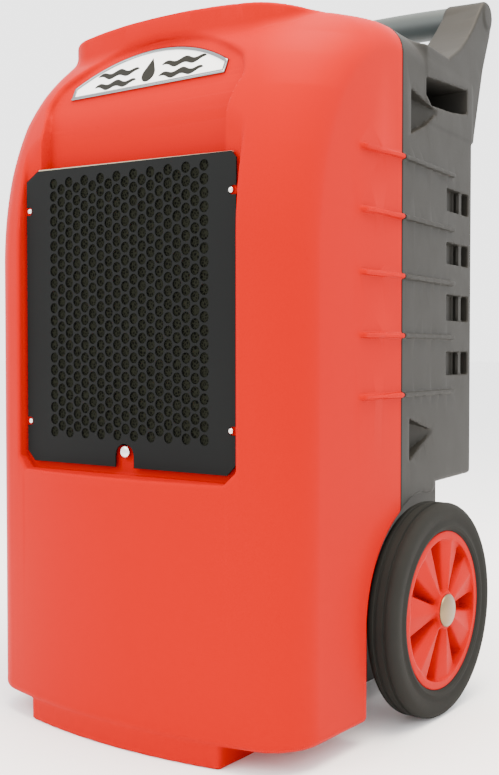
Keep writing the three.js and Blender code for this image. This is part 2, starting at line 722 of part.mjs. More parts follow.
function axleCap(side) {
  const face = HUB_OUT_X - 1.5;
  const rim = AXLE_END_X - face + GAP;
  const full = CAP_OUT_X - face;
  const bore = AXLE_RADIUS + GAP;
  const profile = [
    [0, full], [7, full - 0.6], [13, full - 3], [CAP_RADIUS, full - 7.5], [CAP_RADIUS, 0],
    [bore, 0], [bore, rim], [0, rim],
  ].reverse();
  const axis = side > 0 ? X : X.clone().negate();
  return turned(profile, axis, [side * face, WHEEL_Y, WHEEL_Z]);
}

function axle() {
  return rod(AXLE_RADIUS, X, -AXLE_END_X, AXLE_END_X, [0, WHEEL_Y, WHEEL_Z]);
}

// ---------------------------------------------------------------- base frame
function chassis() {
  const low = CHASSIS_Z;
  const lip = low + CHASSIS_LIP;
  const section = [
    [-CHASSIS_X, low], [CHASSIS_X, low], [CHASSIS_X, lip], [CHASSIS_X - SHEET, lip],
    [CHASSIS_X - SHEET, low + SHEET], [-CHASSIS_X + SHEET, low + SHEET],
    [-CHASSIS_X + SHEET, lip], [-CHASSIS_X, lip],
  ];
  return prismY(section, CHASSIS_FRONT, REAR_Y - 4 * WALL);
}

function axleBracket(side) {
  const foot = CHASSIS_Z + SHEET + GAP;
  const { half, thick } = BRACKET;
  const top = arc(WHEEL_Y, WHEEL_Z, half, 0, Math.PI, 8);
  const plate = [[WHEEL_Y - half, foot], [WHEEL_Y + half, foot], ...top];
  const x = side * BRACKET.x;
  const end = x - side * BRACKET.flange;
  const upright = prismX(plate, x - thick / 2, x + thick / 2);
  const flange = box(Math.min(x, end), Math.max(x, end),
    WHEEL_Y - half, WHEEL_Y + half, foot, foot + SHEET);
  const hole = rod(AXLE_RADIUS + GAP, X, x - thick, x + thick, [0, WHEEL_Y, WHEEL_Z]);
  return upright.add(flange).subtract(hole);
}

// ---------------------------------------------------------------- refrigeration
function coil(frontY) {
  const pitch = (2 * COIL_X) / FINS;
  const back = frontY + COIL_DEPTH;
  const fin = pitch * 0.45;
  const front = [];
  const rear = [];
  for (let i = 0; i < FINS; i += 1) {
    const x = -COIL_X + i * pitch;
    const last = i === FINS - 1;
    front.push([x, frontY], [x + (last ? pitch : fin), frontY]);
    rear.push([x, back], [x + (last ? pitch : fin), back]);
    if (!last) {
      front.push([x + fin, frontY + FIN_ROOT], [x + pitch, frontY + FIN_ROOT]);
      rear.push([x + fin, back - FIN_ROOT], [x + pitch, back - FIN_ROOT]);
    }
  }
  return prismZ([...front, ...rear.reverse()], COIL_LOW, COIL_HIGH);
}

function dripTray() {
  const { y0, y1 } = TRAY;
  const low = COIL_LOW - TRAY.depth;
  const outX = COIL_X + TRAY.margin;
  const inX = outX - SHEET;
  const at = [DRAIN.x, DRAIN.y, 0];
  const outer = box(-outX, outX, y0, y1, low, COIL_LOW - GAP);
  const inner = box(-inX, inX, y0 + SHEET, y1 - SHEET, low + SHEET, COIL_LOW + 1);
  const spout = ring(DRAIN.radius + DRAIN.wall, DRAIN.radius, Z, low - DRAIN.length, low + 2, at, 16);
  const drain = rod(DRAIN.radius, Z, low - 2 * DRAIN.length, COIL_LOW, at, 16);
  return outer.subtract(inner).add(spout).subtract(drain);
}

function compressor() {
  const radius = COMPRESSOR_RADIUS;
  const top = COMPRESSOR_TOP;
  const low = COMPRESSOR_BASE + SHEET;
  const can = turned([
    [0, low - 1], [radius - 12, low - 1], [radius, low + 14], [radius, top - 30],
    [radius - 9, top - 12], [radius - 34, top], [0, top],
  ], Z, [COMPRESSOR_X, COMPRESSOR_Y, 0], WHEEL_ROUND);
  const feet = prismZ(grommetPlaces(CAN_REACH), COMPRESSOR_BASE, low);
  return can.add(feet);
}

// Three points around the compressor
function grommetPlaces(reach) {
  return [0, 1, 2].map((i) => {
    const angle = Math.PI / 2 + (2 * Math.PI * i) / 3;
    return [COMPRESSOR_X + reach * Math.cos(angle), COMPRESSOR_Y + reach * Math.sin(angle)];
  });
}

function grommet(x, y) {
  const low = CHASSIS_Z + SHEET + GAP;
  const high = COMPRESSOR_BASE - GAP;
  const { radius, waist, rim } = GROMMET;
  const profile = [[0, low], [radius, low], [radius, low + rim], [waist, (low + high) / 2],
    [radius, high - rim], [radius, high], [0, high]];
  return turned(profile, Z, [x, y, 0], 14);
}

function capsule(radius, low, high, x, y) {
  return turned([[0, low], [radius * 0.55, low], [radius, low + radius * 0.6],
    [radius, high - radius * 0.6], [radius * 0.55, high], [0, high]], Z, [x, y, 0]);
}

function suctionPipe() {
  const { x, y, high } = ACCUMULATOR;
  return pipe([[x, y, high + GAP], [x, y, high + 40], [x + 40, y + 30, high + 60],
    [COIL_X + 14, y, high + 90], [COIL_X + 14, y - 40, COIL_LOW + 60],
    [COIL_X + 14, EVAPORATOR_Y + 24, COIL_LOW + 90]], PIPE, 18);
}

function dischargePipe() {
  const top = COMPRESSOR_TOP + GAP;
  return pipe([[COMPRESSOR_X, COMPRESSOR_Y, top], [COMPRESSOR_X, COMPRESSOR_Y, top + 14],
    [COMPRESSOR_X - 30, COMPRESSOR_Y + 34, top + 22],
    [-COIL_X - 14, CONDENSER_Y + 76, top + 40], [-COIL_X - 14, CONDENSER_Y + 60, COIL_LOW + 60],
    [-COIL_X - 14, CONDENSER_Y + 24, COIL_LOW + 100]], PIPE, 18);
}

function liquidPipe() {
  const { x, y, high } = DRIER;
  return pipe([[x, y, high + GAP], [x, y, high + 40], [x - 30, y - 20, high + 90],
    [LIQUID_X, y - 60, COIL_LOW + 60], [LIQUID_X, y - 100, COIL_LOW + 120]], LIQUID_PIPE, 20);
}

function solenoidValve() {
  const { half, y0, y1, low, high, top } = VALVE;
  const block = box(LIQUID_X - half, LIQUID_X + half, y0, y1, low, high);
  const coilCan = rod(VALVE.coil, Z, high - 1, top, [LIQUID_X, (y0 + y1) / 2, 0], 16);
  return block.add(coilCan);
}

// ---------------------------------------------------------------- condensate
function reservoir() {
  const { x0, x1, y0, y1, z1 } = TANK;
  const z0 = CHASSIS_Z + SHEET + GAP;
  const inner = box(x0 + SHEET, x1 - SHEET, y0 + SHEET, y1 - SHEET, z0 + SHEET, z1 + 1);
  return box(x0, x1, y0, y1, z0, z1).subtract(inner);
}

function reservoirLid() {
  const { x0, x1, y0, y1, z1 } = TANK;
  const above = z1 + 2 * LID;
  const inlet = rod(DRAIN.inlet, Z, z1, above, [DRAIN.x, DRAIN.y, 0], 16);
  const intake = rod(LID_HOLE_RADIUS, Z, z1, above, [FLOAT.x, PUMP_INTAKE.y, 0], 16);
  const guide = rod(STEM, Z, CHASSIS_Z + 3 * SHEET, z1 + 1, [FLOAT.x, FLOAT.y, 0], 12);
  return box(x0, x1, y0, y1, z1 + GAP, z1 + LID).add(guide).subtract(inlet).subtract(intake);
}

function float() {
  const { x, y, radius, low, high } = FLOAT;
  return ring(radius, STEM + 1, Z, low, high, [x, y, 0], 20);
}

function pump() {
  const { x0, x1, y0, y1 } = PUMP;
  const x = (x0 + x1) / 2;
  const low = TANK.z1 + LID + GAP;
  const high = low + PUMP.height;
  const housing = box(x0, x1, y0, y1, low, high);
  const motor = rod(
    PUMP_MOTOR.radius, Z, high - 1, high + PUMP_MOTOR.height, [x, PUMP_MOTOR.y, 0]);
  const intake = rod(
    PUMP_INTAKE.radius, Z, PUMP_INTAKE.low, low + 1, [x, PUMP_INTAKE.y, 0], 12);
  return housing.add(motor).add(intake);
}

function pumpHose() {
  const z = TANK.z1 + 30;
  const y = PUMP.y1;
  const end = PORT_IN_Y - 4;
  return pipe([[FLOAT.x, y + GAP, z], [FLOAT.x, y + 20, z], [120, 262, z + 30],
    [134, 330, z + 70], [120, 440, z + 150], [PORT_X, end - 21, PORT_Z], [PORT_X, end, PORT_Z]],
  HOSE_RADIUS, 20);
}

// ---------------------------------------------------------------- fan
function fanShroud() {
  const half = COIL_X + 7;
  const plate = box(-half, half, SHROUD_Y, SHROUD_Y + SHEET, COIL_LOW - 6, COIL_HIGH + 6);
  const collar = ring(FAN_RADIUS + 9, FAN_RADIUS + 6, Y, SHROUD_Y + 1, FAN_Y + 22,
    [0, 0, FAN_Z], WHEEL_ROUND);
  const mouth = rod(FAN_RADIUS + 6, Y, 0, beyond, [0, 0, FAN_Z], WHEEL_ROUND);
  return plate.subtract(mouth).add(collar);
}

function fanBlade() {
  const blades = [];
  const root = 30;
  const count = 5;
  const pitch = 0.5;
  for (let i = 0; i < count; i += 1) {
    const blade = new THREE.Shape();
    blade.moveTo(root, -16);
    blade.quadraticCurveTo(FAN_RADIUS * 0.7, -46, FAN_RADIUS - 6, -30);
    blade.quadraticCurveTo(FAN_RADIUS + 1, 4, FAN_RADIUS - 12, 30);
    blade.quadraticCurveTo(FAN_RADIUS * 0.6, 26, root, 16);
    const options = { depth: 2, bevelEnabled: false, curveSegments: 4 };
    const geometry = new THREE.ExtrudeGeometry(blade, options);
    geometry.translate(0, 0, -1);
    geometry.rotateX(pitch);
    geometry.rotateX(-Math.PI / 2);
    geometry.rotateY((2 * Math.PI * i) / count);
    geometry.translate(0, FAN_Y, FAN_Z);
    blades.push(solid(geometry));
  }
  const bore = rod(STEM + GAP, Y, FAN_Y - 30, FAN_Y + 30, [0, 0, FAN_Z]);
  const boss = rod(36, Y, FAN_Y - 14, FAN_Y + 14, [0, 0, FAN_Z]);
  return boss.add(joined(blades)).subtract(bore);
}

function fanShaft() {
  return rod(STEM, Y, FAN_Y - 12, MOTOR_Y - GAP, [0, 0, FAN_Z], 12);
}

function fanMotor() {
  const back = MOTOR_Y + MOTOR_LENGTH;
  const radius = MOTOR_RADIUS;
  return turned([[0, MOTOR_Y], [radius - 8, MOTOR_Y], [radius, MOTOR_Y + 8], [radius, back - 8],
    [radius - 8, back], [0, back]], Y, [0, 0, FAN_Z]);
}

function motorBracket() {
  const legX = COIL_X + 2;
  const front = SHROUD_Y + SHEET + GAP;
  const back = MOTOR_Y + MOTOR_LENGTH + GAP;
  const outline = [
    [legX, front], [legX, back + SHEET], [-legX, back + SHEET], [-legX, front],
    [-legX + SHEET, front], [-legX + SHEET, back], [legX - SHEET, back], [legX - SHEET, front],
  ];
  return prismZ(outline, FAN_Z - 20, FAN_Z + 20);
}

// ---------------------------------------------------------------- rear face
function outletGrille() {
  const { border, depth, lip, half } = GRILLE;
  const outer = box(-OUTLET_X - border, OUTLET_X + border, FACE_Y, FACE_Y + depth,
    OUTLET_LOW - border, OUTLET_HIGH + border);
  const hole = box(-OUTLET_X + lip, OUTLET_X - lip, 0, beyond, OUTLET_LOW + lip, OUTLET_HIGH - lip);
  const slats = [];
  const rise = (OUTLET_HIGH - OUTLET_LOW) / (GRILLE.slats + 1);
  const back = FACE_Y + 1;
  const out = FACE_Y + depth - 1;
  for (let i = 1; i <= GRILLE.slats; i += 1) {
    const z = OUTLET_LOW + i * rise;
    const section = [[out, z - half], [out, z], [back, z + 2 * half], [back, z + half]];
    slats.push(prismX(section, -OUTLET_X, OUTLET_X));
  }
  const post = box(-GRILLE.post, GRILLE.post, back, out - 1, OUTLET_LOW, OUTLET_HIGH);
  return outer.subtract(hole).add(joined(slats)).add(post);
}

// A straight cut through the panel, round the middle of a control
function panelCut({ x, z, halfX, halfZ }, margin) {
  return box(x - halfX - margin, x + halfX + margin, 0, beyond,
    z - halfZ - margin, z + halfZ + margin);
}

function controlPanel() {
  const plate = box(-PANEL_HALF_X, PANEL_HALF_X, FACE_Y, FACE_Y + PLATE, CONTROL_LOW, CONTROL_HIGH);
  const switchHole = panelCut(ROCKER, 1);
  const meterHole = panelCut(METER, 0);
  const buttonHole = rod(BUTTON.radius + 1, Y, 0, beyond, [BUTTON.x, 0, BUTTON.z]);
  const knobHole = rod(STEM + 1, Y, 0, beyond, [KNOB.x, 0, KNOB.z], 12);
  return plate.subtract(switchHole).subtract(meterHole).subtract(buttonHole).subtract(knobHole);
}

// A flat frame on the panel, `margin` clear of the control and `border` wide
function bezel(control, margin, border) {
  const { x, z } = control;
  const halfX = control.halfX + margin + border;
  const halfZ = control.halfZ + margin + border;
  const outer = box(
    x - halfX, x + halfX, FRONT_OF_PANEL, FRONT_OF_PANEL + BEZEL, z - halfZ, z + halfZ);
  return outer.subtract(panelCut(control, margin));
}

function switchBezel() {
  return bezel(ROCKER, 1.1, 4);
}

function rocker() {
  const middle = FRONT_OF_PANEL + 3;
  const { x, z, halfX, halfZ } = ROCKER;
  const side = [
    [-7, -halfZ + 3], [4, -halfZ], [2, 0], [4, halfZ], [-7, halfZ - 3],
  ];
  const resting = side.map(([y, up]) => [
    middle + y * Math.cos(ROCKER.tilt) - up * Math.sin(ROCKER.tilt),
    z + y * Math.sin(ROCKER.tilt) + up * Math.cos(ROCKER.tilt),
  ]);
  return prismX(resting, x - halfX, x + halfX);
}

function meterBezel() {
  return bezel(METER, 0, 6);
}

function meterWindow() {
  const { x, z, halfX, halfZ } = METER;
  const w = halfX - GAP;
  const h = halfZ - GAP;
  return box(x - w, x + w, FACE_Y + GAP, FRONT_OF_PANEL + BEZEL - 1.5, z - h, z + h);
}

function buttonCollar() {
  return ring(BUTTON.radius + 4, BUTTON.radius + 2 * GAP, Y, FRONT_OF_PANEL,
    FRONT_OF_PANEL + COLLAR, [BUTTON.x, 0, BUTTON.z]);
}

function purgeButton() {
  const out = FRONT_OF_PANEL + COLLAR + BUTTON.travel;
  const back = out - BUTTON.length;
  const profile = [[0, back], [BUTTON.radius, back], [BUTTON.radius, out - 1],
    [BUTTON.radius - 1, out], [0, out]];
  return turned(profile, Y, [BUTTON.x, 0, BUTTON.z], 20);
}

function knob() {
  const base = FRONT_OF_PANEL;
  const out = base + KNOB.depth;
  const centre = [KNOB.x, 0, KNOB.z];
  const skirt = turned([[0, base], [KNOB.radius, base], [KNOB.radius, base + 5],
    [KNOB.radius - 4, base + 6], [KNOB.radius - 5, out], [0, out]], Y, centre);
  const grip = box(KNOB.x - KNOB.gripHalf, KNOB.x + KNOB.gripHalf, base + 5, out + 3,
    KNOB.z - KNOB.gripLow, KNOB.z + KNOB.gripHigh);
  const spindle = rod(STEM, Y, FACE_Y - 6, base + 1, centre, 12);
  return skirt.add(grip).add(spindle);
}

function indicatorLamp() {
  const base = FRONT_OF_PANEL;
  const r = LAMP.radius;
  return turned([[0, base], [r, base], [r, base + 2], [r * 0.7, base + 4.4], [0, base + 5]],
    Y, [LAMP.x, 0, LAMP.z], 16);
}

function electricalBox() {
  const { margin, depth } = ELECTRICAL;
  const back = REAR_Y - margin;
  return box(-PANEL_HALF_X + margin, PANEL_HALF_X - margin, back - depth, back,
    CONTROL_LOW + margin, CONTROL_HIGH - margin);
}

function hoseConnector() {
  const out = REAR_Y + 34;
  const profile = [
    [5, PORT_IN_Y], [8, PORT_IN_Y], [8, FACE_Y], [15, FACE_Y], [15, FACE_Y + 6], [9, FACE_Y + 6],
    [9, FACE_Y + 10], [11, FACE_Y + 12], [9, FACE_Y + 16], [9, FACE_Y + 18], [11, FACE_Y + 20],
    [8, out], [5, out], [5, PORT_IN_Y],
  ];
  return turned(profile, Y, [PORT_X, 0, PORT_Z]);
}

function cableGland() {
  const profile = [
    [4, PORT_IN_Y], [8, PORT_IN_Y], [8, FACE_Y], [14, FACE_Y], [14, FACE_Y + 6],
    [12, FACE_Y + 7], [11, FACE_Y + 16], [7, FACE_Y + 22], [4, FACE_Y + 22], [4, PORT_IN_Y],
  ];
  return turned(profile, Y, [-PORT_X, 0, PORT_Z]);
}

// ---------------------------------------------------------------- assembly
add('front_shell', frontShell(), RED_PLASTIC);
add('rear_shell', rearShell(), GREY_PLASTIC);
add('handle_bar', handleBar(), GREY_PLASTIC);
add('badge_rim', badgeRim(), BRIGHT_STEEL);
add('badge_face', badgeFace(), WHITE_FACE);
add('filter_cover', coverPlate(), BLACK_METAL);
add('filter_pad', filterPad(), FOAM);
for (const [name, x, z] of screwPlaces()) {
  add(name, coverScrew(x, z), BRIGHT_STEEL);
}
add('notch_stud', notchStud(), BRIGHT_STEEL);

for (const [word, side] of [['left', -1], ['right', 1]]) {
  add(`tyre_${word}`, tyre(side), TYRE_RUBBER);
  add(`hub_${word}`, hub(side), HUB_PLASTIC);
  add(`bush_${word}`, bush(side), BLACK_PLASTIC);
  add(`axle_cap_${word}`, axleCap(side), BRIGHT_STEEL);
  add(`axle_bracket_${word}`, axleBracket(side), ZINC_STEEL);
}
add('axle', axle(), ZINC_STEEL);
add('base_chassis', chassis(), ZINC_STEEL);

add('evaporator_coil', coil(EVAPORATOR_Y), FIN_ALUMINIUM);
add('condenser_coil', coil(CONDENSER_Y), FIN_ALUMINIUM);
add('drip_tray', dripTray(), BLACK_PLASTIC);
add('compressor', compressor(), BLACK_METAL);
grommetPlaces(GROMMET_REACH).forEach(([x, y], i) => {
  add(`compressor_grommet_${i + 1}`, grommet(x, y), TYRE_RUBBER);
});
const { x: accX, y: accY, radius: accR, low: accLow, high: accHigh } = ACCUMULATOR;
add('accumulator', capsule(accR, accLow, accHigh, accX, accY), BLACK_METAL);
add('filter_drier', capsule(DRIER.radius, DRIER.low, DRIER.high, DRIER.x, DRIER.y), COPPER);
add('solenoid_valve', solenoidValve(), ZINC_STEEL);
add('suction_pipe', suctionPipe(), COPPER);
add('discharge_pipe', dischargePipe(), COPPER);
add('liquid_pipe', liquidPipe(), COPPER);

add('condensate_reservoir', reservoir(), BLACK_PLASTIC);
add('reservoir_lid', reservoirLid(), BLACK_PLASTIC);
add('reservoir_float', float(), WHITE_FACE);
add('condensate_pump', pump(), BLACK_PLASTIC);
add('pump_hose', pumpHose(), BLACK_PLASTIC);

add('fan_shroud', fanShroud(), ZINC_STEEL);
add('fan_blade', fanBlade(), BLACK_PLASTIC);
add('fan_shaft', fanShaft(), ZINC_STEEL);
add('fan_motor', fanMotor(), BLACK_METAL);
add('motor_bracket', motorBracket(), ZINC_STEEL);

add('outlet_grille', outletGrille(), BLACK_PLASTIC);
add('control_panel', controlPanel(), BLACK_METAL);
add('electrical_box', electricalBox(), ZINC_STEEL);
add('switch_bezel', switchBezel(), BLACK_PLASTIC);
add('power_rocker', rocker(), HUB_PLASTIC);
add('meter_bezel', meterBezel(), BLACK_PLASTIC);
add('meter_window', meterWindow(), WHITE_FACE);
add('button_collar', buttonCollar(), BRIGHT_STEEL);
add('purge_button', purgeButton(), BLACK_PLASTIC);
add('humidistat_knob', knob(), BLACK_PLASTIC);
add('indicator_lamp', indicatorLamp(), HUB_PLASTIC);
add('hose_connector', hoseConnector(), BLACK_PLASTIC);
add('cable_gland', cableGland(), BLACK_PLASTIC);

export default machine;
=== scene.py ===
"""Portable dehumidifier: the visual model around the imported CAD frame, in metres."""
import bpy
import bmesh
import math
import numpy as np
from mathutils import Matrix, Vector
from mathutils.geometry import delaunay_2d_cdt


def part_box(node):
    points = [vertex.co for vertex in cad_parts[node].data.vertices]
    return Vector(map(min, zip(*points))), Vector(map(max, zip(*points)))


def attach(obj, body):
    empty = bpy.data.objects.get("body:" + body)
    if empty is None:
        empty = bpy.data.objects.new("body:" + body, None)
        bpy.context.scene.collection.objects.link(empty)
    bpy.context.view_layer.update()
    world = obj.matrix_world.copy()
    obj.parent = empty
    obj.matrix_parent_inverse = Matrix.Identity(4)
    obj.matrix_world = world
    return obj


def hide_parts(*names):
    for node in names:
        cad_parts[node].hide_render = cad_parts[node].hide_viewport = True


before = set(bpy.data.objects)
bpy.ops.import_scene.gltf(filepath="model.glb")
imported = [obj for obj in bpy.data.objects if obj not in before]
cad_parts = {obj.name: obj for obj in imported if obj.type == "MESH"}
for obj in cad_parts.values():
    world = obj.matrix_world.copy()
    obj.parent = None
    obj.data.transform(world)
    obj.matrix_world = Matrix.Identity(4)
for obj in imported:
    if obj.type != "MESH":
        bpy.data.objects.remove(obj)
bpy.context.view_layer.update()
MM = 0.001

# The cover plate's face is the plane that the depths below are counted from
FACE_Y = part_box("filter_cover")[0][1]


def place(x, y, z):
    """Millimetres, counted from the cover's face, to metres in the shared frame."""
    return Vector((x * MM, FACE_Y + y * MM, z * MM))


# ------------------------------------------------------------------ camera
CAMERA_AZIMUTH = math.radians(36.09)
CAMERA_DROP = math.radians(1.78)
CAMERA_PLACE = place(979.4, -1066.3, 509.4)
CAMERA_LENS = 51.28


def make_camera():
    data = bpy.data.cameras.new("camera")
    data.lens = CAMERA_LENS
    camera = bpy.data.objects.new("camera", data)
    camera.location = CAMERA_PLACE
    camera.rotation_euler = (math.pi / 2 - CAMERA_DROP, 0, CAMERA_AZIMUTH)
    bpy.context.scene.collection.objects.link(camera)
    bpy.context.scene.camera = camera


make_camera()


# ------------------------------------------------------------------ distance fields, in millimetres
def both(a, b, radius):
    """Where two fields overlap, with the edge between them rounded."""
    u = np.maximum(a + radius, 0)
    v = np.maximum(b + radius, 0)
    return np.minimum(np.maximum(a, b), -radius) + np.hypot(u, v)


def either(a, b, radius):
    """Two fields together, with a fillet between them."""
    return -both(-a, -b, radius)


def without(a, b, radius):
    """The first field with the second cut away, with the edge rounded."""
    return both(a, -b, radius)


def smooth_step(value, low, high):
    t = np.clip((value - low) / (high - low), 0, 1)
    return t * t * (3 - 2 * t)


def outline_distance(u, v, points, rounding=0.0):
    """Signed distance to a closed outline; negative inside."""
    points = np.asarray(points, float)
    nearest = np.full(u.shape, np.inf)
    inside = np.zeros(u.shape, bool)
    for a, b in zip(points, np.roll(points, -1, axis=0)):
        du, dv = b - a
        if du == 0 and dv == 0:
            continue
        t = np.clip(((u - a[0]) * du + (v - a[1]) * dv) / (du * du + dv * dv), 0, 1)
        nearest = np.minimum(nearest, np.hypot(u - a[0] - t * du, v - a[1] - t * dv))
        crosses = (a[1] > v) != (b[1] > v)
        if dv != 0:
            inside ^= crosses & (u < a[0] + (v - a[1]) * du / dv)
    return np.where(inside, -nearest, nearest) - rounding


class Outline:
    """An outline's distance, kept on a grid so that it is quick to look up."""

    STEP = 1.5
    MARGIN = 45.0

    def __init__(self, points, rounding=0.0):
        points = np.asarray(points, float)
        self.low = points.min(axis=0) - self.MARGIN
        high = points.max(axis=0) + self.MARGIN
        self.shape = np.ceil((high - self.low) / self.STEP).astype(int) + 1
        u = self.low[0] + self.STEP * np.arange(self.shape[0])
        v = self.low[1] + self.STEP * np.arange(self.shape[1])
        self.grid = outline_distance(*np.meshgrid(u, v, indexing="ij"), points, rounding)

    def __call__(self, u, v):
        s = (u - self.low[0]) / self.STEP
        t = (v - self.low[1]) / self.STEP
        s = np.clip(s, 0, self.shape[0] - 1.001)
        t = np.clip(t, 0, self.shape[1] - 1.001)
        i = s.astype(int)
        j = t.astype(int)
        s = s - i
        t = t - j
        g = self.grid
        low = g[i, j] * (1 - s) + g[i + 1, j] * s
        high = g[i, j + 1] * (1 - s) + g[i + 1, j + 1] * s
        return low * (1 - t) + high * t


def arc_points(cu, cv, radius, start, end, count):
    angles = np.linspace(start, end, count)
    return [(cu + radius * math.cos(a), cv + radius * math.sin(a)) for a in angles]


def curve_points(knots, count):
    """A smooth curve through a few knots (Catmull-Rom)."""
    k = np.asarray([knots[0], *knots, knots[-1]], float)
    out = []
    for i in range(len(knots) - 1):
        p0, p1, p2, p3 = k[i:i + 4]
        for t in np.linspace(0, 1, count, endpoint=False):
            out.append(tuple(0.5 * (2 * p1 + (p2 - p0) * t + (2 * p0 - 5 * p1 + 4 * p2 - p3) * t ** 2
                                    + (3 * p1 - p0 - 3 * p2 + p3) * t ** 3)))
    out.append(tuple(knots[-1]))
    return out


# ------------------------------------------------------------------ the two shells' common body
FRONT_Y = -32
BOW_RADIUS = 870
PARTING_Y = 258
PARTING_X = 268
FRONT_TAPER = 0.02
REAR_TAPER = 0.095
REAR_Y = 542
BODY_BOTTOM = 29
BODY_TOP = 955
BROW_START = 650
BROW_DEPTH = 180
CORNER_HEIGHTS = [640, 760, 835, 880, 915, 955]
CORNER_ROUNDS = [52, 60, 70, 88, 108, 112]
SHOULDER = 45
REAR_CORNER = 16
WALL = 8  # always wider than two steps of the meshing grid


def bow(x):
    return BOW_RADIUS - np.sqrt(np.maximum(BOW_RADIUS ** 2 - x ** 2, 1))


def front_and_top(x, y, z):
    """The bowed front that leans back over an elliptical brow into the flat top."""
    p = np.maximum(FRONT_Y + BROW_DEPTH - (y - bow(x)), 0)
    q = np.maximum(z - BROW_START, 0)
    height = BODY_TOP - BROW_START
    k0 = np.hypot(p / BROW_DEPTH, q / height)
    k1 = np.hypot(p / BROW_DEPTH ** 2, q / height ** 2)
    return np.where(k1 > 0, k0 * (k0 - 1) / np.maximum(k1, 1e-9), -BROW_DEPTH)


def side_x(y):
    front = FRONT_TAPER * (PARTING_Y - y)
    rear = REAR_TAPER * (y - PARTING_Y)
    return PARTING_X - np.where(y < PARTING_Y, front, rear)


def body(x, y, z):
    front_round = np.interp(z, CORNER_HEIGHTS, CORNER_ROUNDS)
    round_ = front_round + (SHOULDER - front_round) * smooth_step(y, 90, 240)
    shape = both(front_and_top(x, y, z), np.abs(x) - side_x(y), round_)
    shape = both(shape, y - REAR_Y, REAR_CORNER)
    return both(shape, BODY_BOTTOM - z, 9)


# The raised crown above the badge
CROWN_Y = 66
CROWN_BOW = 900
CROWN_X = 200
CROWN_CORNER = 60
CROWN_BASE = 800
CROWN_TOP = 960
CROWN_ARCH = 2500
CROWN_FALL = 5 / 300


def crown(x, y, z):
    top = CROWN_TOP - x ** 2 / (2 * CROWN_ARCH) - CROWN_FALL * np.maximum(y - 150, 0)
    face = np.hypot(x, y - CROWN_Y - CROWN_BOW) - CROWN_BOW
    plan = both(face, np.abs(x) - CROWN_X, CROWN_CORNER)
    plan = both(plan, y - REAR_Y + 60, 20)
    plan = np.maximum(plan, CROWN_BASE - z)
    return both(plan, z - top, 4)


PLINTH_X = 165
PLINTH_FRONT = -29
PLINTH_BOW = 800
PLINTH_BACK = 90


def plinth(x, y, z):
    face = np.hypot(x, y - PLINTH_FRONT - PLINTH_BOW) - PLINTH_BOW
    plan = both(face, np.abs(x) - PLINTH_X, 4)
    plan = both(plan, y - PLINTH_BACK, 4)
    return both(both(plan, 0.6 - z, 2), z - BODY_BOTTOM - 20, 2)


WHEEL_Y = 335.5
WHEEL_Z = 150
WELL_X = 180
WELL_RADIUS = 162
WELL_ROOF = 322
WELL_ROOF_Y = 386


def wells(x, y, z):
    arch = np.hypot(y - WHEEL_Y, z - WHEEL_Z) - WELL_RADIUS
    below = np.maximum(WHEEL_Y - WELL_RADIUS - y, z - WHEEL_Z)
    behind = np.maximum(WELL_ROOF_Y - y, z - WELL_ROOF)
    return np.maximum(WELL_X - np.abs(x), np.minimum(either(arch, behind, 15), below))


# ------------------------------------------------------------------ front shell
POCKET_X = 188
POCKET_LOW = 350
POCKET_HIGH = 830
POCKET_CHAMFER = 16
POCKET_Y = 7
PANEL_Y = 24
PANEL_LEAN = 0.49
PANEL_BEND = 827
PANEL_SOFTNESS = 20
WINDOW_X = 150
SCREW_X = 175
SCREW_HEIGHTS = {"lower": 415, "upper": 706}
BOSS_RADIUS = 8
BOSS_Y = 2.2
WINDOW_LOW = 388
WINDOW_HIGH = 754
RIB_HEIGHTS = [453, 533, 613, 693, 773]
RIB_HALF = 3.3
RIB_PROUD = 6
RIB_FRONT_Y = 148
RIB_RAMP = 10
RIB_BACK_Y = 448

pocket_outline = Outline([
    (-POCKET_X + POCKET_CHAMFER, POCKET_LOW), (POCKET_X - POCKET_CHAMFER, POCKET_LOW),
    (POCKET_X, POCKET_LOW + POCKET_CHAMFER), (POCKET_X, POCKET_HIGH),
    (-POCKET_X, POCKET_HIGH), (-POCKET_X, POCKET_LOW + POCKET_CHAMFER)])
panel_right = curve_points(
    [(160, 746), (160, 800), (163, 830), (168, 850), (163, 866), (148, 884), (100, 909), (52, 923),
     (0, 928)], 6)
panel_outline = Outline(panel_right + [(-x, z) for x, z in reversed(panel_right[:-1])])


def panel_floor(z):
    """Depth of the recess floor: upright behind the cover, then leaning back under the badge."""
    rise = z - PANEL_BEND
    return PANEL_Y + PANEL_LEAN * (rise + np.hypot(rise, PANEL_SOFTNESS)) / 2


def ribs(x, y, z, start, end):
    proud = RIB_PROUD * np.clip((y - RIB_FRONT_Y) / RIB_RAMP, 0.1, 1)
    band = np.abs(x) - side_x(y) - proud
    band = both(band, np.maximum(start - y, y - end), 1.5)
    height = np.min([np.abs(z - middle) for middle in RIB_HEIGHTS], axis=0)
    return both(band, height - RIB_HALF, 2)


def screw_bosses(x, y, z):
    """Pads on the pocket floor that the cover's four screws pull up against."""
    bosses = [np.hypot(np.abs(x) - SCREW_X, z - height) - BOSS_RADIUS for height in SCREW_HEIGHTS.values()]
    return both(np.minimum(*bosses), np.maximum(BOSS_Y - y, y - POCKET_Y - WALL), 1)


def front_solid(x, y, z):
    shape = either(body(x, y, z), crown(x, y, z), 7)
    shape = either(shape, plinth(x, y, z), 2)
    shape = without(shape, wells(x, y, z), 6)
    pocket = both(pocket_outline(x, z), y - POCKET_Y, 3)
    panel = both(panel_outline(x, z), y - panel_floor(z), 2)
    shape = without(shape, pocket, 4)
    shape = without(shape, panel, np.interp(z, [840, 880], [2, 10]))
    return either(shape, screw_bosses(x, y, z), 1)


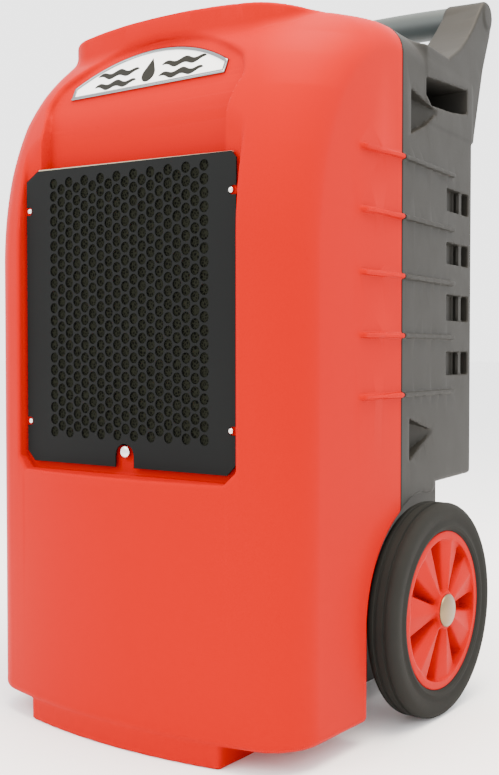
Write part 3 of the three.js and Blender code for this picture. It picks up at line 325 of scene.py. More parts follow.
def front_shell(x, y, z):
    solid = front_solid(x, y, z)
    shell = np.maximum(solid, -(solid + WALL))
    window = np.maximum(np.maximum(np.abs(x) - WINDOW_X, WINDOW_LOW - z), z - WINDOW_HIGH)
    window = np.maximum(window, y - 60)
    shell = without(shell, window, 1)
    shell = either(shell, ribs(x, y, z, RIB_FRONT_Y, PARTING_Y + 20), 1.5)
    return both(shell, y - PARTING_Y + 0.2, 0.3)


# ------------------------------------------------------------------ rear shell
HORN_IN_X = 172
SLOT_IN_X = 130
SLOT = [(343, 873), (362, 861), (440, 866), (488, 872), (507, 876), (507, 911), (440, 906), (372, 900),
        (343, 897)]
horn_outline = Outline(
    [(270, 900), (270, 936), (300, 942), (366, 945), (432, 944)]
    + curve_points([(447, 952), (486, 974), (530, 1009), (576, 1058)], 6)
    + curve_points([(576, 1058), (588, 1068), (604, 1069), (618, 1062), (624, 1046)], 5)
    + [(615, 1018), (583, 957), (563, 900), (545, 850), (541, 835), (270, 835)])
slot_outline = Outline(SLOT)
TRIANGLES = [
    [(289, 870), (289, 809), (340, 828), (383, 855), (340, 862)],
    [(287, 419), (287, 361), (372, 398)],
]
triangle_outlines = [Outline(points) for points in TRIANGLES]
POCKET_ROWS = [(720, 753), (642, 673), (558, 596), (477, 511)]
SIDE_POCKET_FRONT = 425
SIDE_POCKET_BACK = 517
SIDE_POCKET_DEPTHS = [8, 10, 14, 14, 4, 4, 16, 14]
BAR_FRONT = 484
BAR_BACK = 499
OUTLET_X = 150
OUTLET_LOW = 430
OUTLET_HIGH = 700
CONTROL_X = 132
CONTROL_LOW = 742
CONTROL_HIGH = 882
PORT_X = 95
PORT_Z = 385
BAR_Y = 600
BAR_Z = 1048
BAR_RADIUS = 24
BAR_ARCH = 5.5
BAR_END_RADIUS = 17
SOCKET_DEPTH = 22
COLLAR_RADIUS = 25
COLLAR_TAPER = 0.1


def horns(x, y, z):
    outer = np.minimum(side_x(y), 244 + 16 * np.clip((y - 266) / 80, 0, 2) ** 1.5)
    slab = np.maximum(HORN_IN_X - np.abs(x), np.abs(x) - outer)
    collar = np.hypot(y - BAR_Y, z - BAR_Z) - COLLAR_RADIUS + COLLAR_TAPER * (np.abs(x) - HORN_IN_X)
    collar = both(collar, slab, 4)
    return either(both(horn_outline(y, z), slab, 4), collar, 8)


def side_pockets(x, y, z):
    """Four grips in each side: a ramp, an upright bar and a deeper rear part."""
    stations = [SIDE_POCKET_FRONT, SIDE_POCKET_FRONT + 3, BAR_FRONT - 6, BAR_FRONT - 2, BAR_FRONT + 1,
                BAR_BACK - 1, BAR_BACK + 1, SIDE_POCKET_BACK]
    depth = np.interp(y, stations, SIDE_POCKET_DEPTHS)
    floor = side_x(y) - depth - np.abs(x)
    rows = np.min([np.abs(z - (low + high) / 2) - (high - low) / 2 for low, high in POCKET_ROWS], axis=0)
    plan = np.maximum(SIDE_POCKET_FRONT - y, y - SIDE_POCKET_BACK)
    return both(both(plan, rows, 3), floor, 1.5)


def side_triangles(x, y, z):
    """Scoops that are deepest at the bolt wall beside the parting line."""
    scoops = []
    for outline, points in zip(triangle_outlines, TRIANGLES):
        apex = max(y_ for y_, _ in points)
        front = points[0][0]
        depth = 24 * np.clip((apex - y) / (apex - front), 0, 1)
        scoops.append(both(outline(y, z), side_x(y) - depth - np.abs(x), 1.5))
    return np.minimum(*scoops)


def rear_solid(x, y, z):
    shape = either(body(x, y, z), crown(x, y, z), 7)
    shape = without(shape, wells(x, y, z), 6)
    shape = either(shape, horns(x, y, z), 4)
    grip = both(slot_outline(y, z), SLOT_IN_X - np.abs(x), 2)
    shape = without(shape, grip, 3)
    shape = without(shape, side_pockets(x, y, z), 2)
    return without(shape, side_triangles(x, y, z), 2)


def rear_shell(x, y, z):
    solid = rear_solid(x, y, z)
    shell = np.maximum(solid, -(solid + WALL))
    outlet = np.maximum(np.abs(x) - OUTLET_X, np.abs(z - (OUTLET_LOW + OUTLET_HIGH) / 2)
                        - (OUTLET_HIGH - OUTLET_LOW) / 2)
    control = np.maximum(np.abs(x) - CONTROL_X + 10, np.abs(z - (CONTROL_LOW + CONTROL_HIGH) / 2)
                         - (CONTROL_HIGH - CONTROL_LOW) / 2 + 10)
    openings = np.minimum(outlet, control)
    openings = np.minimum(openings, np.hypot(np.abs(x) - PORT_X, z - PORT_Z) - 9)
    shell = without(shell, np.maximum(openings, REAR_Y - 30 - y), 1)
    bar = np.hypot(y - BAR_Y, z - BAR_Z) - BAR_END_RADIUS - 0.6
    shell = without(shell, np.maximum(bar, np.abs(x) - HORN_IN_X - SOCKET_DEPTH), 1)
    shell = either(shell, ribs(x, y, z, PARTING_Y - 20, RIB_BACK_Y), 1.5)
    return both(shell, PARTING_Y + 0.3 - y, 1)


# ------------------------------------------------------------------ meshes from distance fields
CORNERS = np.array([(i, j, k) for i in (0, 1) for j in (0, 1) for k in (0, 1)])
EDGES = [(a, b) for a in range(8) for b in range(a + 1, 8) if np.abs(CORNERS[a] - CORNERS[b]).sum() == 1]
NEAR = 1.8  # a cell is kept when the surface may be within this many cell widths of its middle


def near_cells(field, low, high, step, levels):
    """Cells of the finest grid that may hold the surface, by halving larger ones."""
    size = step * 2 ** levels
    counts = np.ceil((np.asarray(high) - low) / size).astype(int)
    cells = np.stack(np.meshgrid(*[np.arange(n) for n in counts], indexing="ij"), -1).reshape(-1, 3)
    while True:
        middle = low + (cells + 0.5) * size
        distance = field(*middle.T)
        cells = cells[np.abs(distance) < size * NEAR]
        if size == step:
            return cells
        cells = (cells[:, None, :] * 2 + CORNERS[None]).reshape(-1, 3)
        size = size / 2


def net(field, low, high, step, levels=3):
    """Surface of a field as points and four-sided faces (surface nets)."""
    low = np.asarray(low, float)
    cells = near_cells(field, low, high, step, levels)
    span = cells.max(axis=0) + 3
    strides = np.array([span[1] * span[2], span[2], 1])
    keys = cells @ strides
    order = np.argsort(keys)
    cells, keys = cells[order], keys[order]
    corner_keys = keys[:, None] + (CORNERS @ strides)[None]
    unique, back = np.unique(corner_keys, return_inverse=True)
    back = back.reshape(corner_keys.shape)
    ijk = np.stack([unique // strides[0], unique // strides[1] % span[1], unique % span[2]], -1)
    value = field(*(low + ijk * step).T)
    value = np.where(value == 0, 1e-6, value)
    corner = value[back]
    mixed = (corner.min(axis=1) < 0) & (corner.max(axis=1) > 0)
    cells, keys, corner = cells[mixed], keys[mixed], corner[mixed]
    total = np.zeros((len(cells), 3))
    hits = np.zeros(len(cells))
    for a, b in EDGES:
        va, vb = corner[:, a], corner[:, b]
        cross = (va < 0) != (vb < 0)
        t = np.where(cross, va / np.where(cross, va - vb, 1), 0)[:, None]
        point = CORNERS[a] + t * (CORNERS[b] - CORNERS[a])
        total += np.where(cross[:, None], point, 0)
        hits += cross
    points = low + (cells + total / hits[:, None]) * step
    points = settle(field, points, step)
    faces = []
    for axis in range(3):
        u, v = (axis + 1) % 3, (axis + 2) % 3
        start = int(np.nonzero((CORNERS == 0).all(axis=1))[0][0])
        end = int(np.nonzero((CORNERS == np.eye(3, dtype=int)[axis]).all(axis=1))[0][0])
        cross = (corner[:, start] < 0) != (corner[:, end] < 0)
        index = np.nonzero(cross)[0]
        ring = [index]
        ok = np.ones(len(index), bool)
        for offset in (strides[u], strides[u] + strides[v], strides[v]):
            wanted = keys[index] - offset
            found = np.searchsorted(keys, wanted)
            found = np.minimum(found, len(keys) - 1)
            ok &= keys[found] == wanted
            ring.append(found)
        quad = np.stack(ring, -1)[ok]
        outward = corner[index[ok], start] < 0
        quad[~outward] = quad[~outward][:, ::-1]
        faces.append(quad)
    return points, np.concatenate(faces)


def slope(field, points, reach=0.2):
    out = np.empty_like(points)
    for axis in range(3):
        shift = np.zeros(3)
        shift[axis] = reach
        out[:, axis] = field(*(points + shift).T) - field(*(points - shift).T)
    return out / (2 * reach)


def settle(field, points, step):
    """Moves the points onto the surface, each by less than half a cell."""
    start = points.copy()
    for _ in range(3):
        away = slope(field, points)
        square = np.maximum((away ** 2).sum(axis=1), 0.2)
        move = field(*points.T) / square
        points = points - np.clip(move, -step / 2, step / 2)[:, None] * away
    drift = points - start
    length = np.maximum(np.linalg.norm(drift, axis=1), 1e-9)
    return start + drift * np.minimum(1, 0.6 * step / length)[:, None]


def make_object(name, points, faces, material, smooth_angle=None):
    """A mesh object from points in millimetres."""
    points = np.asarray(points, float) * MM + np.array([0, FACE_Y, 0])
    mesh = bpy.data.meshes.new(name)
    mesh.from_pydata(points.tolist(), [], [list(map(int, face)) for face in faces])
    mesh.materials.append(material)
    mesh.validate()
    mesh.polygons.foreach_set("use_smooth", [smooth_angle is not None] * len(mesh.polygons))
    if smooth_angle is not None:
        mesh.set_sharp_from_angle(angle=math.radians(smooth_angle))
    piece = bpy.data.objects.new(name, mesh)
    bpy.context.scene.collection.objects.link(piece)
    return piece


def thin_out(piece, target):
    """Fewer faces where the surface is nearly flat."""
    count = len(piece.data.polygons) * 2
    if count <= target:
        return
    modifier = piece.modifiers.new("thin_out", "DECIMATE")
    modifier.ratio = target / count
    depsgraph = bpy.context.evaluated_depsgraph_get()
    old = piece.data
    piece.data = bpy.data.meshes.new_from_object(piece.evaluated_get(depsgraph))
    piece.modifiers.clear()
    bpy.data.meshes.remove(old)
    piece.data.name = piece.name


SHELL_STEP = 3.0
SHELL_FACES = 120000
SHELL_LOW = (-285, -45, -6)
SHELL_HIGH = (285, 640, 1080)


def moulded(name, field, node, material, low, high):
    points, faces = net(field, low, high, SHELL_STEP)
    piece = make_object(name, points, faces, material, 40)
    thin_out(piece, SHELL_FACES)
    piece.data.polygons.foreach_set("use_smooth", [True] * len(piece.data.polygons))
    piece.data.set_sharp_from_angle(angle=math.radians(40))
    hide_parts(node)
    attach(piece, "machine")
    return piece


# ------------------------------------------------------------------ materials
def linear(colour):
    """A screen colour, 0-255, to the renderer's linear colour."""
    out = []
    for channel in colour:
        c = channel / 255
        out.append(c / 12.92 if c <= 0.04045 else ((c + 0.055) / 1.055) ** 2.4)
    return (*out, 1.0)


def noise(tree, scale, detail=4.0):
    node = tree.nodes.new("ShaderNodeTexNoise")
    node.inputs["Scale"].default_value = scale
    node.inputs["Detail"].default_value = detail
    place_ = tree.nodes.new("ShaderNodeTexCoord")
    tree.links.new(place_.outputs["Object"], node.inputs["Vector"])
    return node


def surface(name, colour, roughness, metallic=0.0, tone=0.06, patch=6.0, grain=900.0, relief=0.04, **more):
    """Colour that drifts a little in patches, roughness that varies, and a fine grain."""
    material = bpy.data.materials.new(name)
    material.use_nodes = True
    tree = material.node_tree
    shader = tree.nodes["Principled BSDF"]
    patches = noise(tree, patch)
    mix = tree.nodes.new("ShaderNodeMix")
    mix.data_type = "RGBA"
    base = linear(colour)
    mix.inputs["A"].default_value = tuple(c * (1 - tone) for c in base[:3]) + (1,)
    mix.inputs["B"].default_value = tuple(min(1, c * (1 + tone)) for c in base[:3]) + (1,)
    tree.links.new(patches.outputs["Fac"], mix.inputs["Factor"])
    tree.links.new(mix.outputs["Result"], shader.inputs["Base Color"])
    shader.inputs["Metallic"].default_value = metallic
    wear = noise(tree, patch * 5)
    spread = tree.nodes.new("ShaderNodeMapRange")
    spread.inputs["To Min"].default_value = max(0.02, roughness - 0.05)
    spread.inputs["To Max"].default_value = roughness + 0.05
    tree.links.new(wear.outputs["Fac"], spread.inputs["Value"])
    tree.links.new(spread.outputs["Result"], shader.inputs["Roughness"])
    fine = noise(tree, grain, 2.0)
    bump = tree.nodes.new("ShaderNodeBump")
    bump.inputs["Strength"].default_value = relief
    bump.inputs["Distance"].default_value = 0.001
    tree.links.new(fine.outputs["Fac"], bump.inputs["Height"])
    tree.links.new(bump.outputs["Normal"], shader.inputs["Normal"])
    for socket, value in more.items():
        shader.inputs[socket.replace("_", " ")].default_value = value
    return material


FOAM_CELLS_PER_METRE = 260


def foam_surface(name, dark, light):
    """Open-cell foam: a web of lighter threads over dark pores."""
    material = surface(name, dark, 0.95, tone=0.1, Specular_IOR_Level=0.0)
    tree = material.node_tree
    shader = tree.nodes["Principled BSDF"]
    cells = tree.nodes.new("ShaderNodeTexVoronoi")
    cells.feature = "DISTANCE_TO_EDGE"
    cells.inputs["Scale"].default_value = FOAM_CELLS_PER_METRE
    place_ = tree.nodes.new("ShaderNodeTexCoord")
    tree.links.new(place_.outputs["Object"], cells.inputs["Vector"])
    ramp = tree.nodes.new("ShaderNodeValToRGB")
    ramp.color_ramp.elements[0].color = linear(light)
    ramp.color_ramp.elements[1].color = linear(dark)
    ramp.color_ramp.elements[1].position = 0.28
    tree.links.new(cells.outputs["Distance"], ramp.inputs["Fac"])
    tree.links.new(ramp.outputs["Color"], shader.inputs["Base Color"])
    return material


RED_GLOSS = (1.0, 0.08, 0.04, 1.0)
RED = surface("red_shell", (156, 5, 2), 0.45, tone=0.03, patch=3, grain=1400, relief=0.05,
              Specular_IOR_Level=0.03, Specular_Tint=RED_GLOSS)
GREY = surface("grey_shell", (30, 29, 26), 0.6, tone=0.05, patch=5, grain=1200, relief=0.12,
               Specular_IOR_Level=0.15)
BAR_GREY = surface("handle_grey", (55, 61, 61), 0.45, tone=0.05, patch=8, relief=0.06,
                   Specular_IOR_Level=0.2)
CHROME = surface("chrome_trim", (118, 120, 122), 0.14, metallic=1.0, tone=0.04, patch=30, relief=0.01)
WHITE = surface("badge_white", (238, 239, 238), 0.2, tone=0.02, patch=12, relief=0.01)
COVER = surface("cover_black", (17, 18, 18), 0.5, tone=0.1, patch=6, grain=1800, relief=0.1,
                Specular_IOR_Level=0.05)
FOAM = foam_surface("filter_foam", (8, 8, 7), (28, 29, 23))
# Pale colour for the cover's top flange: a painted highlight, not the cover's own black
PAINTED_HIGHLIGHT_LIP = surface("lip_painted_highlight", (150, 140, 120), 0.5, metallic=0.6, tone=0.15, patch=30, relief=0.05)
CAP_STEEL = surface("cap_steel", (122, 104, 80), 0.35, metallic=1.0, tone=0.08, patch=60, relief=0.05)
STEEL = surface("bright_steel", (206, 205, 200), 0.25, metallic=1.0, tone=0.05, patch=60, relief=0.03)
RUBBER = surface("tyre_rubber", (30, 30, 28), 0.8, tone=0.12, patch=25, grain=700, relief=0.2,
                 Specular_IOR_Level=0.08)
HUB_RED = surface("hub_red", (154, 3, 2), 0.4, tone=0.04, patch=10, relief=0.05,
                  Specular_IOR_Level=0.03, Specular_Tint=RED_GLOSS)
BLACK = surface("black_plastic", (28, 29, 31), 0.45, tone=0.08, patch=12, relief=0.08)
ZINC = surface("zinc_steel", (168, 170, 166), 0.4, metallic=0.9, tone=0.08, patch=40, relief=0.04)
FINS = surface("fin_aluminium", (190, 194, 196), 0.4, metallic=0.9, tone=0.06, patch=50, relief=0.05)
MACHINE_BLACK = surface("machine_black", (24, 25, 27), 0.38, tone=0.1, patch=20, relief=0.06)
GROMMET = surface("grommet_rubber", (34, 33, 32), 0.8, tone=0.1, patch=50, relief=0.1)
COPPER = surface("copper", (186, 112, 72), 0.32, metallic=1.0, tone=0.1, patch=60, relief=0.03)
BRASS = surface("valve_brass", (196, 160, 86), 0.32, metallic=1.0, tone=0.08, patch=60, relief=0.03)
FLOAT = surface("float_white", (232, 232, 226), 0.5, tone=0.03, patch=30, relief=0.08)
PANEL = surface("panel_black", (34, 35, 37), 0.5, tone=0.06, patch=12, grain=1600, relief=0.12)
ROCKER = surface("rocker_red", (206, 28, 22), 0.3, tone=0.04, patch=30, relief=0.03)
GLASS = surface("meter_glass", (205, 214, 206), 0.08, tone=0.04, patch=40, relief=0.005)
LAMP = surface("lamp_red", (226, 44, 26), 0.15, tone=0.05, patch=60, relief=0.01)
BADGE_INK = surface("badge_ink", (22, 21, 15), 0.5, tone=0.05, patch=30, relief=0.02, Specular_IOR_Level=0.1)

CAD_FINISHES = {
    FOAM: ["filter_pad"],
    BLACK: ["switch_bezel", "meter_bezel", "button_collar", "humidistat_knob", "cable_gland",
            "fan_blade", "fan_shroud", "outlet_grille", "electrical_box", "pump_hose"],
    ZINC: ["axle", "axle_bracket_left", "axle_bracket_right", "base_chassis", "motor_bracket", "fan_shaft",
           "notch_stud"],
    FINS: ["evaporator_coil", "condenser_coil"],
    MACHINE_BLACK: ["compressor", "accumulator", "fan_motor", "condensate_pump"],
    GROMMET: ["compressor_grommet_1", "compressor_grommet_2", "compressor_grommet_3"],
    COPPER: ["filter_drier", "suction_pipe", "discharge_pipe", "liquid_pipe"],
    BRASS: ["solenoid_valve", "hose_connector"],
    FLOAT: ["reservoir_float", "condensate_reservoir", "reservoir_lid", "drip_tray", "bush_left",
            "bush_right"],
    PANEL: ["control_panel"],
    ROCKER: ["power_rocker"],
    GLASS: ["meter_window"],
    HUB_RED: ["purge_button"],
    LAMP: ["indicator_lamp"],
}


def finish_cad_nodes():
    for material, names in CAD_FINISHES.items():
        for name in names:
            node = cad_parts[name]
            for entry in node.material_slots:
                entry.material = material


finish_cad_nodes()

front = moulded("front_moulding", front_shell, "front_shell", RED,
                SHELL_LOW, (285, PARTING_Y + 12, 985))
rear = moulded("rear_moulding", rear_shell, "rear_shell", GREY,
               (-285, PARTING_Y - 12, 10), SHELL_HIGH)


# ------------------------------------------------------------------ lathe work and flat plates
def revolve(name, profile, centre, material, segments=96, outward=1, smooth_angle=32):
    """A part turned about an axis along X, from a closed profile of (radius, station along outward X)."""
    profile = np.asarray(profile, float)
    angles = np.linspace(0, 2 * math.pi, segments, endpoint=False)
    points = []
    for radius, station in profile:
        for angle in angles:
            points.append((centre[0] + outward * station, centre[1] + radius * math.cos(angle),
                           centre[2] + radius * math.sin(angle)))
    faces = []
    rows = len(profile)
    for row in range(rows):
        after = (row + 1) % rows
        for k in range(segments):
            n = (k + 1) % segments
            face = [row * segments + k, row * segments + n, after * segments + n, after * segments + k]
            faces.append(face if outward > 0 else face[::-1])
    piece = make_object(name, points, faces, material, smooth_angle)
    tidy(piece)
    return piece


def tidy(piece):
    """Joins points that coincide, as on an axis, and points every face outward."""
    mesh = bmesh.new()
    mesh.from_mesh(piece.data)
    bmesh.ops.remove_doubles(mesh, verts=mesh.verts, dist=1e-6)
    bmesh.ops.dissolve_degenerate(mesh, edges=mesh.edges, dist=1e-6)
    bmesh.ops.recalc_face_normals(mesh, faces=mesh.faces)
    mesh.to_mesh(piece.data)
    mesh.free()


def odd_crossings(points, corners, edges):
    """Whether each point is inside the outlines: a line to the right crosses them an odd number of times."""
    inside = np.zeros(len(points), bool)
    for start, end in edges:
        (u0, v0), (u1, v1) = corners[start], corners[end]
        if v0 != v1:
            crosses = (v0 > points[:, 1]) != (v1 > points[:, 1])
            inside ^= crosses & (points[:, 0] < u0 + (points[:, 1] - v0) * (u1 - u0) / (v1 - v0))
    return inside


def plate(name, outlines, depth, thick, material, smooth_angle=30):
    """A flat plate facing the front, from an outline and the outlines of its holes, as (x, z) pairs."""
    flat = []
    loops = []
    for outline in outlines:
        loops.append(list(range(len(flat), len(flat) + len(outline))))
        flat.extend(Vector(point) for point in outline)
    rims = [(loop[i], loop[(i + 1) % len(loop)]) for loop in loops for i in range(len(loop))]
    cut = delaunay_2d_cdt(flat, rims, [], 1, 1e-5)
    verts = cut[0]
    middles = np.array([sum((verts[i] for i in face), Vector((0, 0))) / len(face) for face in cut[2]])
    faces = [face for face, keep in zip(cut[2], odd_crossings(middles, flat, rims)) if keep]
    count = len(verts)
    points = [(v.x, depth, v.y) for v in verts] + [(v.x, depth + thick, v.y) for v in verts]
    front_faces = [tuple(face) for face in faces]
    back_faces = [tuple(i + count for i in reversed(face)) for face in faces]
    edges = {}
    for face in front_faces:
        for a, b in zip(face, face[1:] + face[:1]):
            edges[(a, b)] = edges.get((a, b), 0) + 1
    walls = [(b, a, a + count, b + count) for a, b in edges if (b, a) not in edges]
    piece = make_object(name, points, front_faces + back_faces + walls, material, smooth_angle)
    tidy(piece)
    return piece


def circle(cu, cv, radius, count):
    return [(cu + radius * math.cos(2 * math.pi * i / count), cv + radius * math.sin(2 * math.pi * i / count))
            for i in range(count)]


def finished(piece, body_name, slot_name, *nodes):
    if nodes:
        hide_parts(*nodes)
    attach(piece, body_name)
    return piece


# ------------------------------------------------------------------ intake cover
COVER_X = 182
COVER_LOW = 360
COVER_CHAMFER = 14
COVER_TOP_LEFT = (-160, 760)
COVER_TOP_RIGHT = (174, 753)
COVER_LEFT_HIGH = 747
COVER_RIGHT_HIGH = 745
COVER_THICK = 2
HOLE_RADIUS = 7.1
HOLE_PITCH = 16.9
HOLE_COLUMNS = 19
HOLE_FIRST_X = -129
HOLE_LAST_X = 133
HOLE_FIRST_Z = 402
HOLE_ROWS = 21
NOTCH_HALF = 16
NOTCH_TOP = 391
SIDE_NOTCH = 5.5


def cover_outline():
    """Cut-off corners, the arched notch at the bottom and a small notch at each screw."""
    right = [(COVER_X - COVER_CHAMFER, COVER_LOW), (COVER_X, COVER_LOW + COVER_CHAMFER)]
    for z in SCREW_HEIGHTS.values():
        edge = arc_points(SCREW_X + 1, z, SIDE_NOTCH, -math.pi / 2, -math.pi * 1.5, 9)
        right += [(COVER_X, z - SIDE_NOTCH), *edge, (COVER_X, z + SIDE_NOTCH)]
    left = [(-u, v) for u, v in reversed(right)]
    top = [(COVER_X, COVER_RIGHT_HIGH), COVER_TOP_RIGHT, COVER_TOP_LEFT, (-COVER_X, COVER_LEFT_HIGH)]
    notch = arc_points(0, NOTCH_TOP - NOTCH_HALF, NOTCH_HALF, math.pi, 0, 17)
    bottom = [(-NOTCH_HALF, COVER_LOW), *notch, (NOTCH_HALF, COVER_LOW)]
    return bottom + right + top + left


def cover_holes():
    holes = []
    pitch_x = (HOLE_LAST_X - HOLE_FIRST_X) / (HOLE_COLUMNS - 1)
    for column in range(HOLE_COLUMNS):
        offset = column % 2
        for row in range(HOLE_ROWS - offset):
            z = HOLE_FIRST_Z + (row + offset / 2) * HOLE_PITCH
            if abs(HOLE_FIRST_X + column * pitch_x) < NOTCH_HALF + 8 and z < NOTCH_TOP + 9:
                continue
            holes.append(circle(HOLE_FIRST_X + column * pitch_x, z, HOLE_RADIUS, 24))
    return holes


cover = plate("intake_cover", [cover_outline(), *cover_holes()], 0, COVER_THICK, COVER)
finished(cover, "filter_cover", "cover_black", "filter_cover")


LIP_LEFT = 2
LIP_RIGHT = 0.6
LIP_THICK = 5
PAD_FRONT_Y = 2.6
PAD_BACK_Y = 14.6


def block(name, low, high, material):
    """A box between two corners, with narrow bevelled edges."""
    mesh = bpy.data.meshes.new(name)
    shape = bmesh.new()
    bmesh.ops.create_cube(shape, size=1)
    for vert in shape.verts:
        place = [low[i] + (vert.co[i] + 0.5) * (high[i] - low[i]) for i in range(3)]
        vert.co = Vector(place) * MM + Vector((0, FACE_Y, 0))
    edge = 0.2 * min(high[i] - low[i] for i in range(3)) * MM
    bmesh.ops.bevel(shape, geom=shape.edges[:], offset=edge, segments=2, profile=0.5, affect="EDGES")
    shape.to_mesh(mesh)
    shape.free()
    mesh.materials.append(material)
    piece = bpy.data.objects.new(name, mesh)
    bpy.context.scene.collection.objects.link(piece)
    return piece


# The bent-over top edge of the cover, a thin strip in a pale steel colour: a painted highlight where the
# black flange catches the light
(left_x, left_z), (right_x, right_z) = COVER_TOP_LEFT, COVER_TOP_RIGHT
lip_outline = [(left_x, left_z - 1), (right_x, right_z - 1), (right_x, right_z + LIP_RIGHT),
               (left_x, left_z + LIP_LEFT)]
lip = plate("cover_top_lip", [lip_outline], COVER_THICK + 0.1, LIP_THICK, PAINTED_HIGHLIGHT_LIP)
# The slot label here stands for the painted highlight on the flange as well as for bright steel
finished(lip, "filter_cover", "bright_steel")
pad = block("foam_filter", (2 - WINDOW_X, PAD_FRONT_Y, WINDOW_LOW + 2),
            (WINDOW_X - 2, PAD_BACK_Y, WINDOW_HIGH - 1), FOAM)
finished(pad, "filter_cover", "filter_foam", "filter_pad")


def dome_profile(radius, height, base, steps=8):
    """Half-outline of a domed head, from the axis at the front back to the axis at its base."""
    rim = [(radius * math.sin(a), -base - height * math.cos(a)) for a in np.linspace(0, math.pi / 2, steps)]
    return rim + [(radius, 0.0), (0, 0.0)]


def turned_front(name, profile, x, z, material, segments=32, depth=0.0):
    """A small turned part whose axis runs front to back."""
    points = []
    for radius, station in profile:
        for k in range(segments):
            angle = 2 * math.pi * k / segments
            points.append((x + radius * math.cos(angle), depth + station, z + radius * math.sin(angle)))
    faces = []
    for row in range(len(profile) - 1):
        for k in range(segments):
            n = (k + 1) % segments
            faces.append([row * segments + k, row * segments + n,
                          (row + 1) * segments + n, (row + 1) * segments + k])
    piece = make_object(name, points, faces, material, 30)
    tidy(piece)
    return piece


SCREW_HEAD = dome_profile(radius=3.8, height=2.2, base=0.8)
STUD_HEAD = dome_profile(radius=8, height=2.2, base=0.8)
STUD_Z = NOTCH_TOP - NOTCH_HALF + 5
STUD_DEPTH = 1.5

for row, height in SCREW_HEIGHTS.items():
    for side, sign in (("left", -1), ("right", 1)):
        screw = turned_front(f"intake_screw_{row}_{side}", SCREW_HEAD, sign * SCREW_X, height, STEEL)
        finished(screw, "filter_cover", "bright_steel", f"cover_screw_{row}_{side}")

stud = turned_front("lift_stud", STUD_HEAD, 0, STUD_Z, STEEL, depth=STUD_DEPTH)
finished(stud, "machine", "bright_steel", "notch_stud")


# ------------------------------------------------------------------ badge
BADGE_X = 134
BADGE_LOW = 861
BADGE_END = 879
BADGE_TOP = 917
BADGE_RIM = 5


def badge_outline():
    rise = BADGE_TOP - BADGE_END
    radius = (BADGE_X ** 2 + rise ** 2) / (2 * rise)
    spread = math.asin(BADGE_X / radius)
    top = arc_points(0, BADGE_TOP - radius, radius, math.pi / 2 - spread, math.pi / 2 + spread, 49)
    bottom = [(BADGE_X * (2 * i / 40 - 1), BADGE_LOW) for i in range(41)]
    left = [(-BADGE_X, BADGE_END + (BADGE_LOW - BADGE_END) * i / 6) for i in range(1, 6)]
    right = [(BADGE_X, BADGE_LOW + (BADGE_END - BADGE_LOW) * i / 6) for i in range(1, 6)]
    return bottom + right + top + left


def inset_outline(points, inset):
    """Every point moved inward along the mean of its two edges' directions."""
    p = np.asarray(points, float)
    along = np.roll(p, -1, axis=0) - np.roll(p, 1, axis=0)
    along /= np.linalg.norm(along, axis=1)[:, None]
    inward = np.stack([-along[:, 1], along[:, 0]], -1)
    return [tuple(q) for q in p + inset * inward]


def badge_rim():
    outline = badge_outline()
    section = [(0, 0), (0, 2), (1, 3.2), (2.5, 3.8), (4, 3.2), (BADGE_RIM, 2), (BADGE_RIM, 0)]
    points = []
    for inset, height in section:
        for x, z in inset_outline(outline, inset):
            points.append((x, panel_floor(z) - height - 0.1, z))
    count = len(outline)
    faces = []
    for ring in range(len(section)):
        after = (ring + 1) % len(section)
        for k in range(count):
            n = (k + 1) % count
            faces.append([ring * count + k, ring * count + n, after * count + n, after * count + k])
    piece = make_object("badge_frame", points, faces, CHROME, 40)
    tidy(piece)
    return piece


def bend_to_floor(piece, lift):
    """Lays a flat plate on the leaning recess floor, lift millimetres proud of it."""
    for vertex in piece.data.vertices:
        z = vertex.co.z / MM
        vertex.co.y += (panel_floor(z) - lift) * MM


finished(badge_rim(), "machine", "chrome_trim", "badge_rim")


def badge_face():
    outline = inset_outline(badge_outline(), BADGE_RIM - 0.5)
    piece = plate("badge_plate", [outline], 0, 1.6, WHITE)
    bend_to_floor(piece, 1.8)
    return piece


finished(badge_face(), "machine", "badge_white", "badge_face")

DROP_Z = 880
DROP_RADIUS = 11
WAVE_XS = [(-95, -20), (20, 95)]
WAVE_ROWS = [(874, 9), (890, 9)]


def drop_outline(cx, cz, radius):
    """A water drop: a round bottom that draws up to a point."""
    round_part = arc_points(cx, cz, radius, math.radians(150), math.radians(390), 25)
    return round_part + [(cx + radius * 0.35, cz + radius * 1.45), (cx, cz + radius * 2.1),
                         (cx - radius * 0.35, cz + radius * 1.45)]


def wave_outline(low, high, z, half):
    xs = np.linspace(low, high, 33)
    middle = [(x, z + 2.2 * math.sin((x - low) * 0.2)) for x in xs]
    thickness = [half * math.sin(math.pi * (x - low) / (high - low)) ** 0.5 + 0.05 for x in xs]
    top = [(x, v + t) for (x, v), t in zip(middle, thickness)]
    bottom = [(x, v - t) for (x, v), t in zip(middle, thickness)]
    return bottom + top[::-1]


def badge_print(name, outline):
    piece = plate(name, [outline], 0, 0.4, BADGE_INK)
    bend_to_floor(piece, 2.1)
    return finished(piece, "machine", "panel_black")


badge_print("badge_drop", drop_outline(0, DROP_Z, DROP_RADIUS))
for side, (low, high) in zip(("left", "right"), WAVE_XS):
    for number, (z, width) in enumerate(WAVE_ROWS, 1):
        badge_print(f"badge_wave_{side}_{number}", wave_outline(low, high, z, width / 2))


# ------------------------------------------------------------------ handle bar
def bar_lift(x):
    return BAR_ARCH * (1 - min(1, abs(x) / HORN_IN_X) ** 2)


BAR_SEGMENTS = 48
BAR_SHOULDER_X = HORN_IN_X - 1.5
BAR_END_X = HORN_IN_X + SOCKET_DEPTH - 1


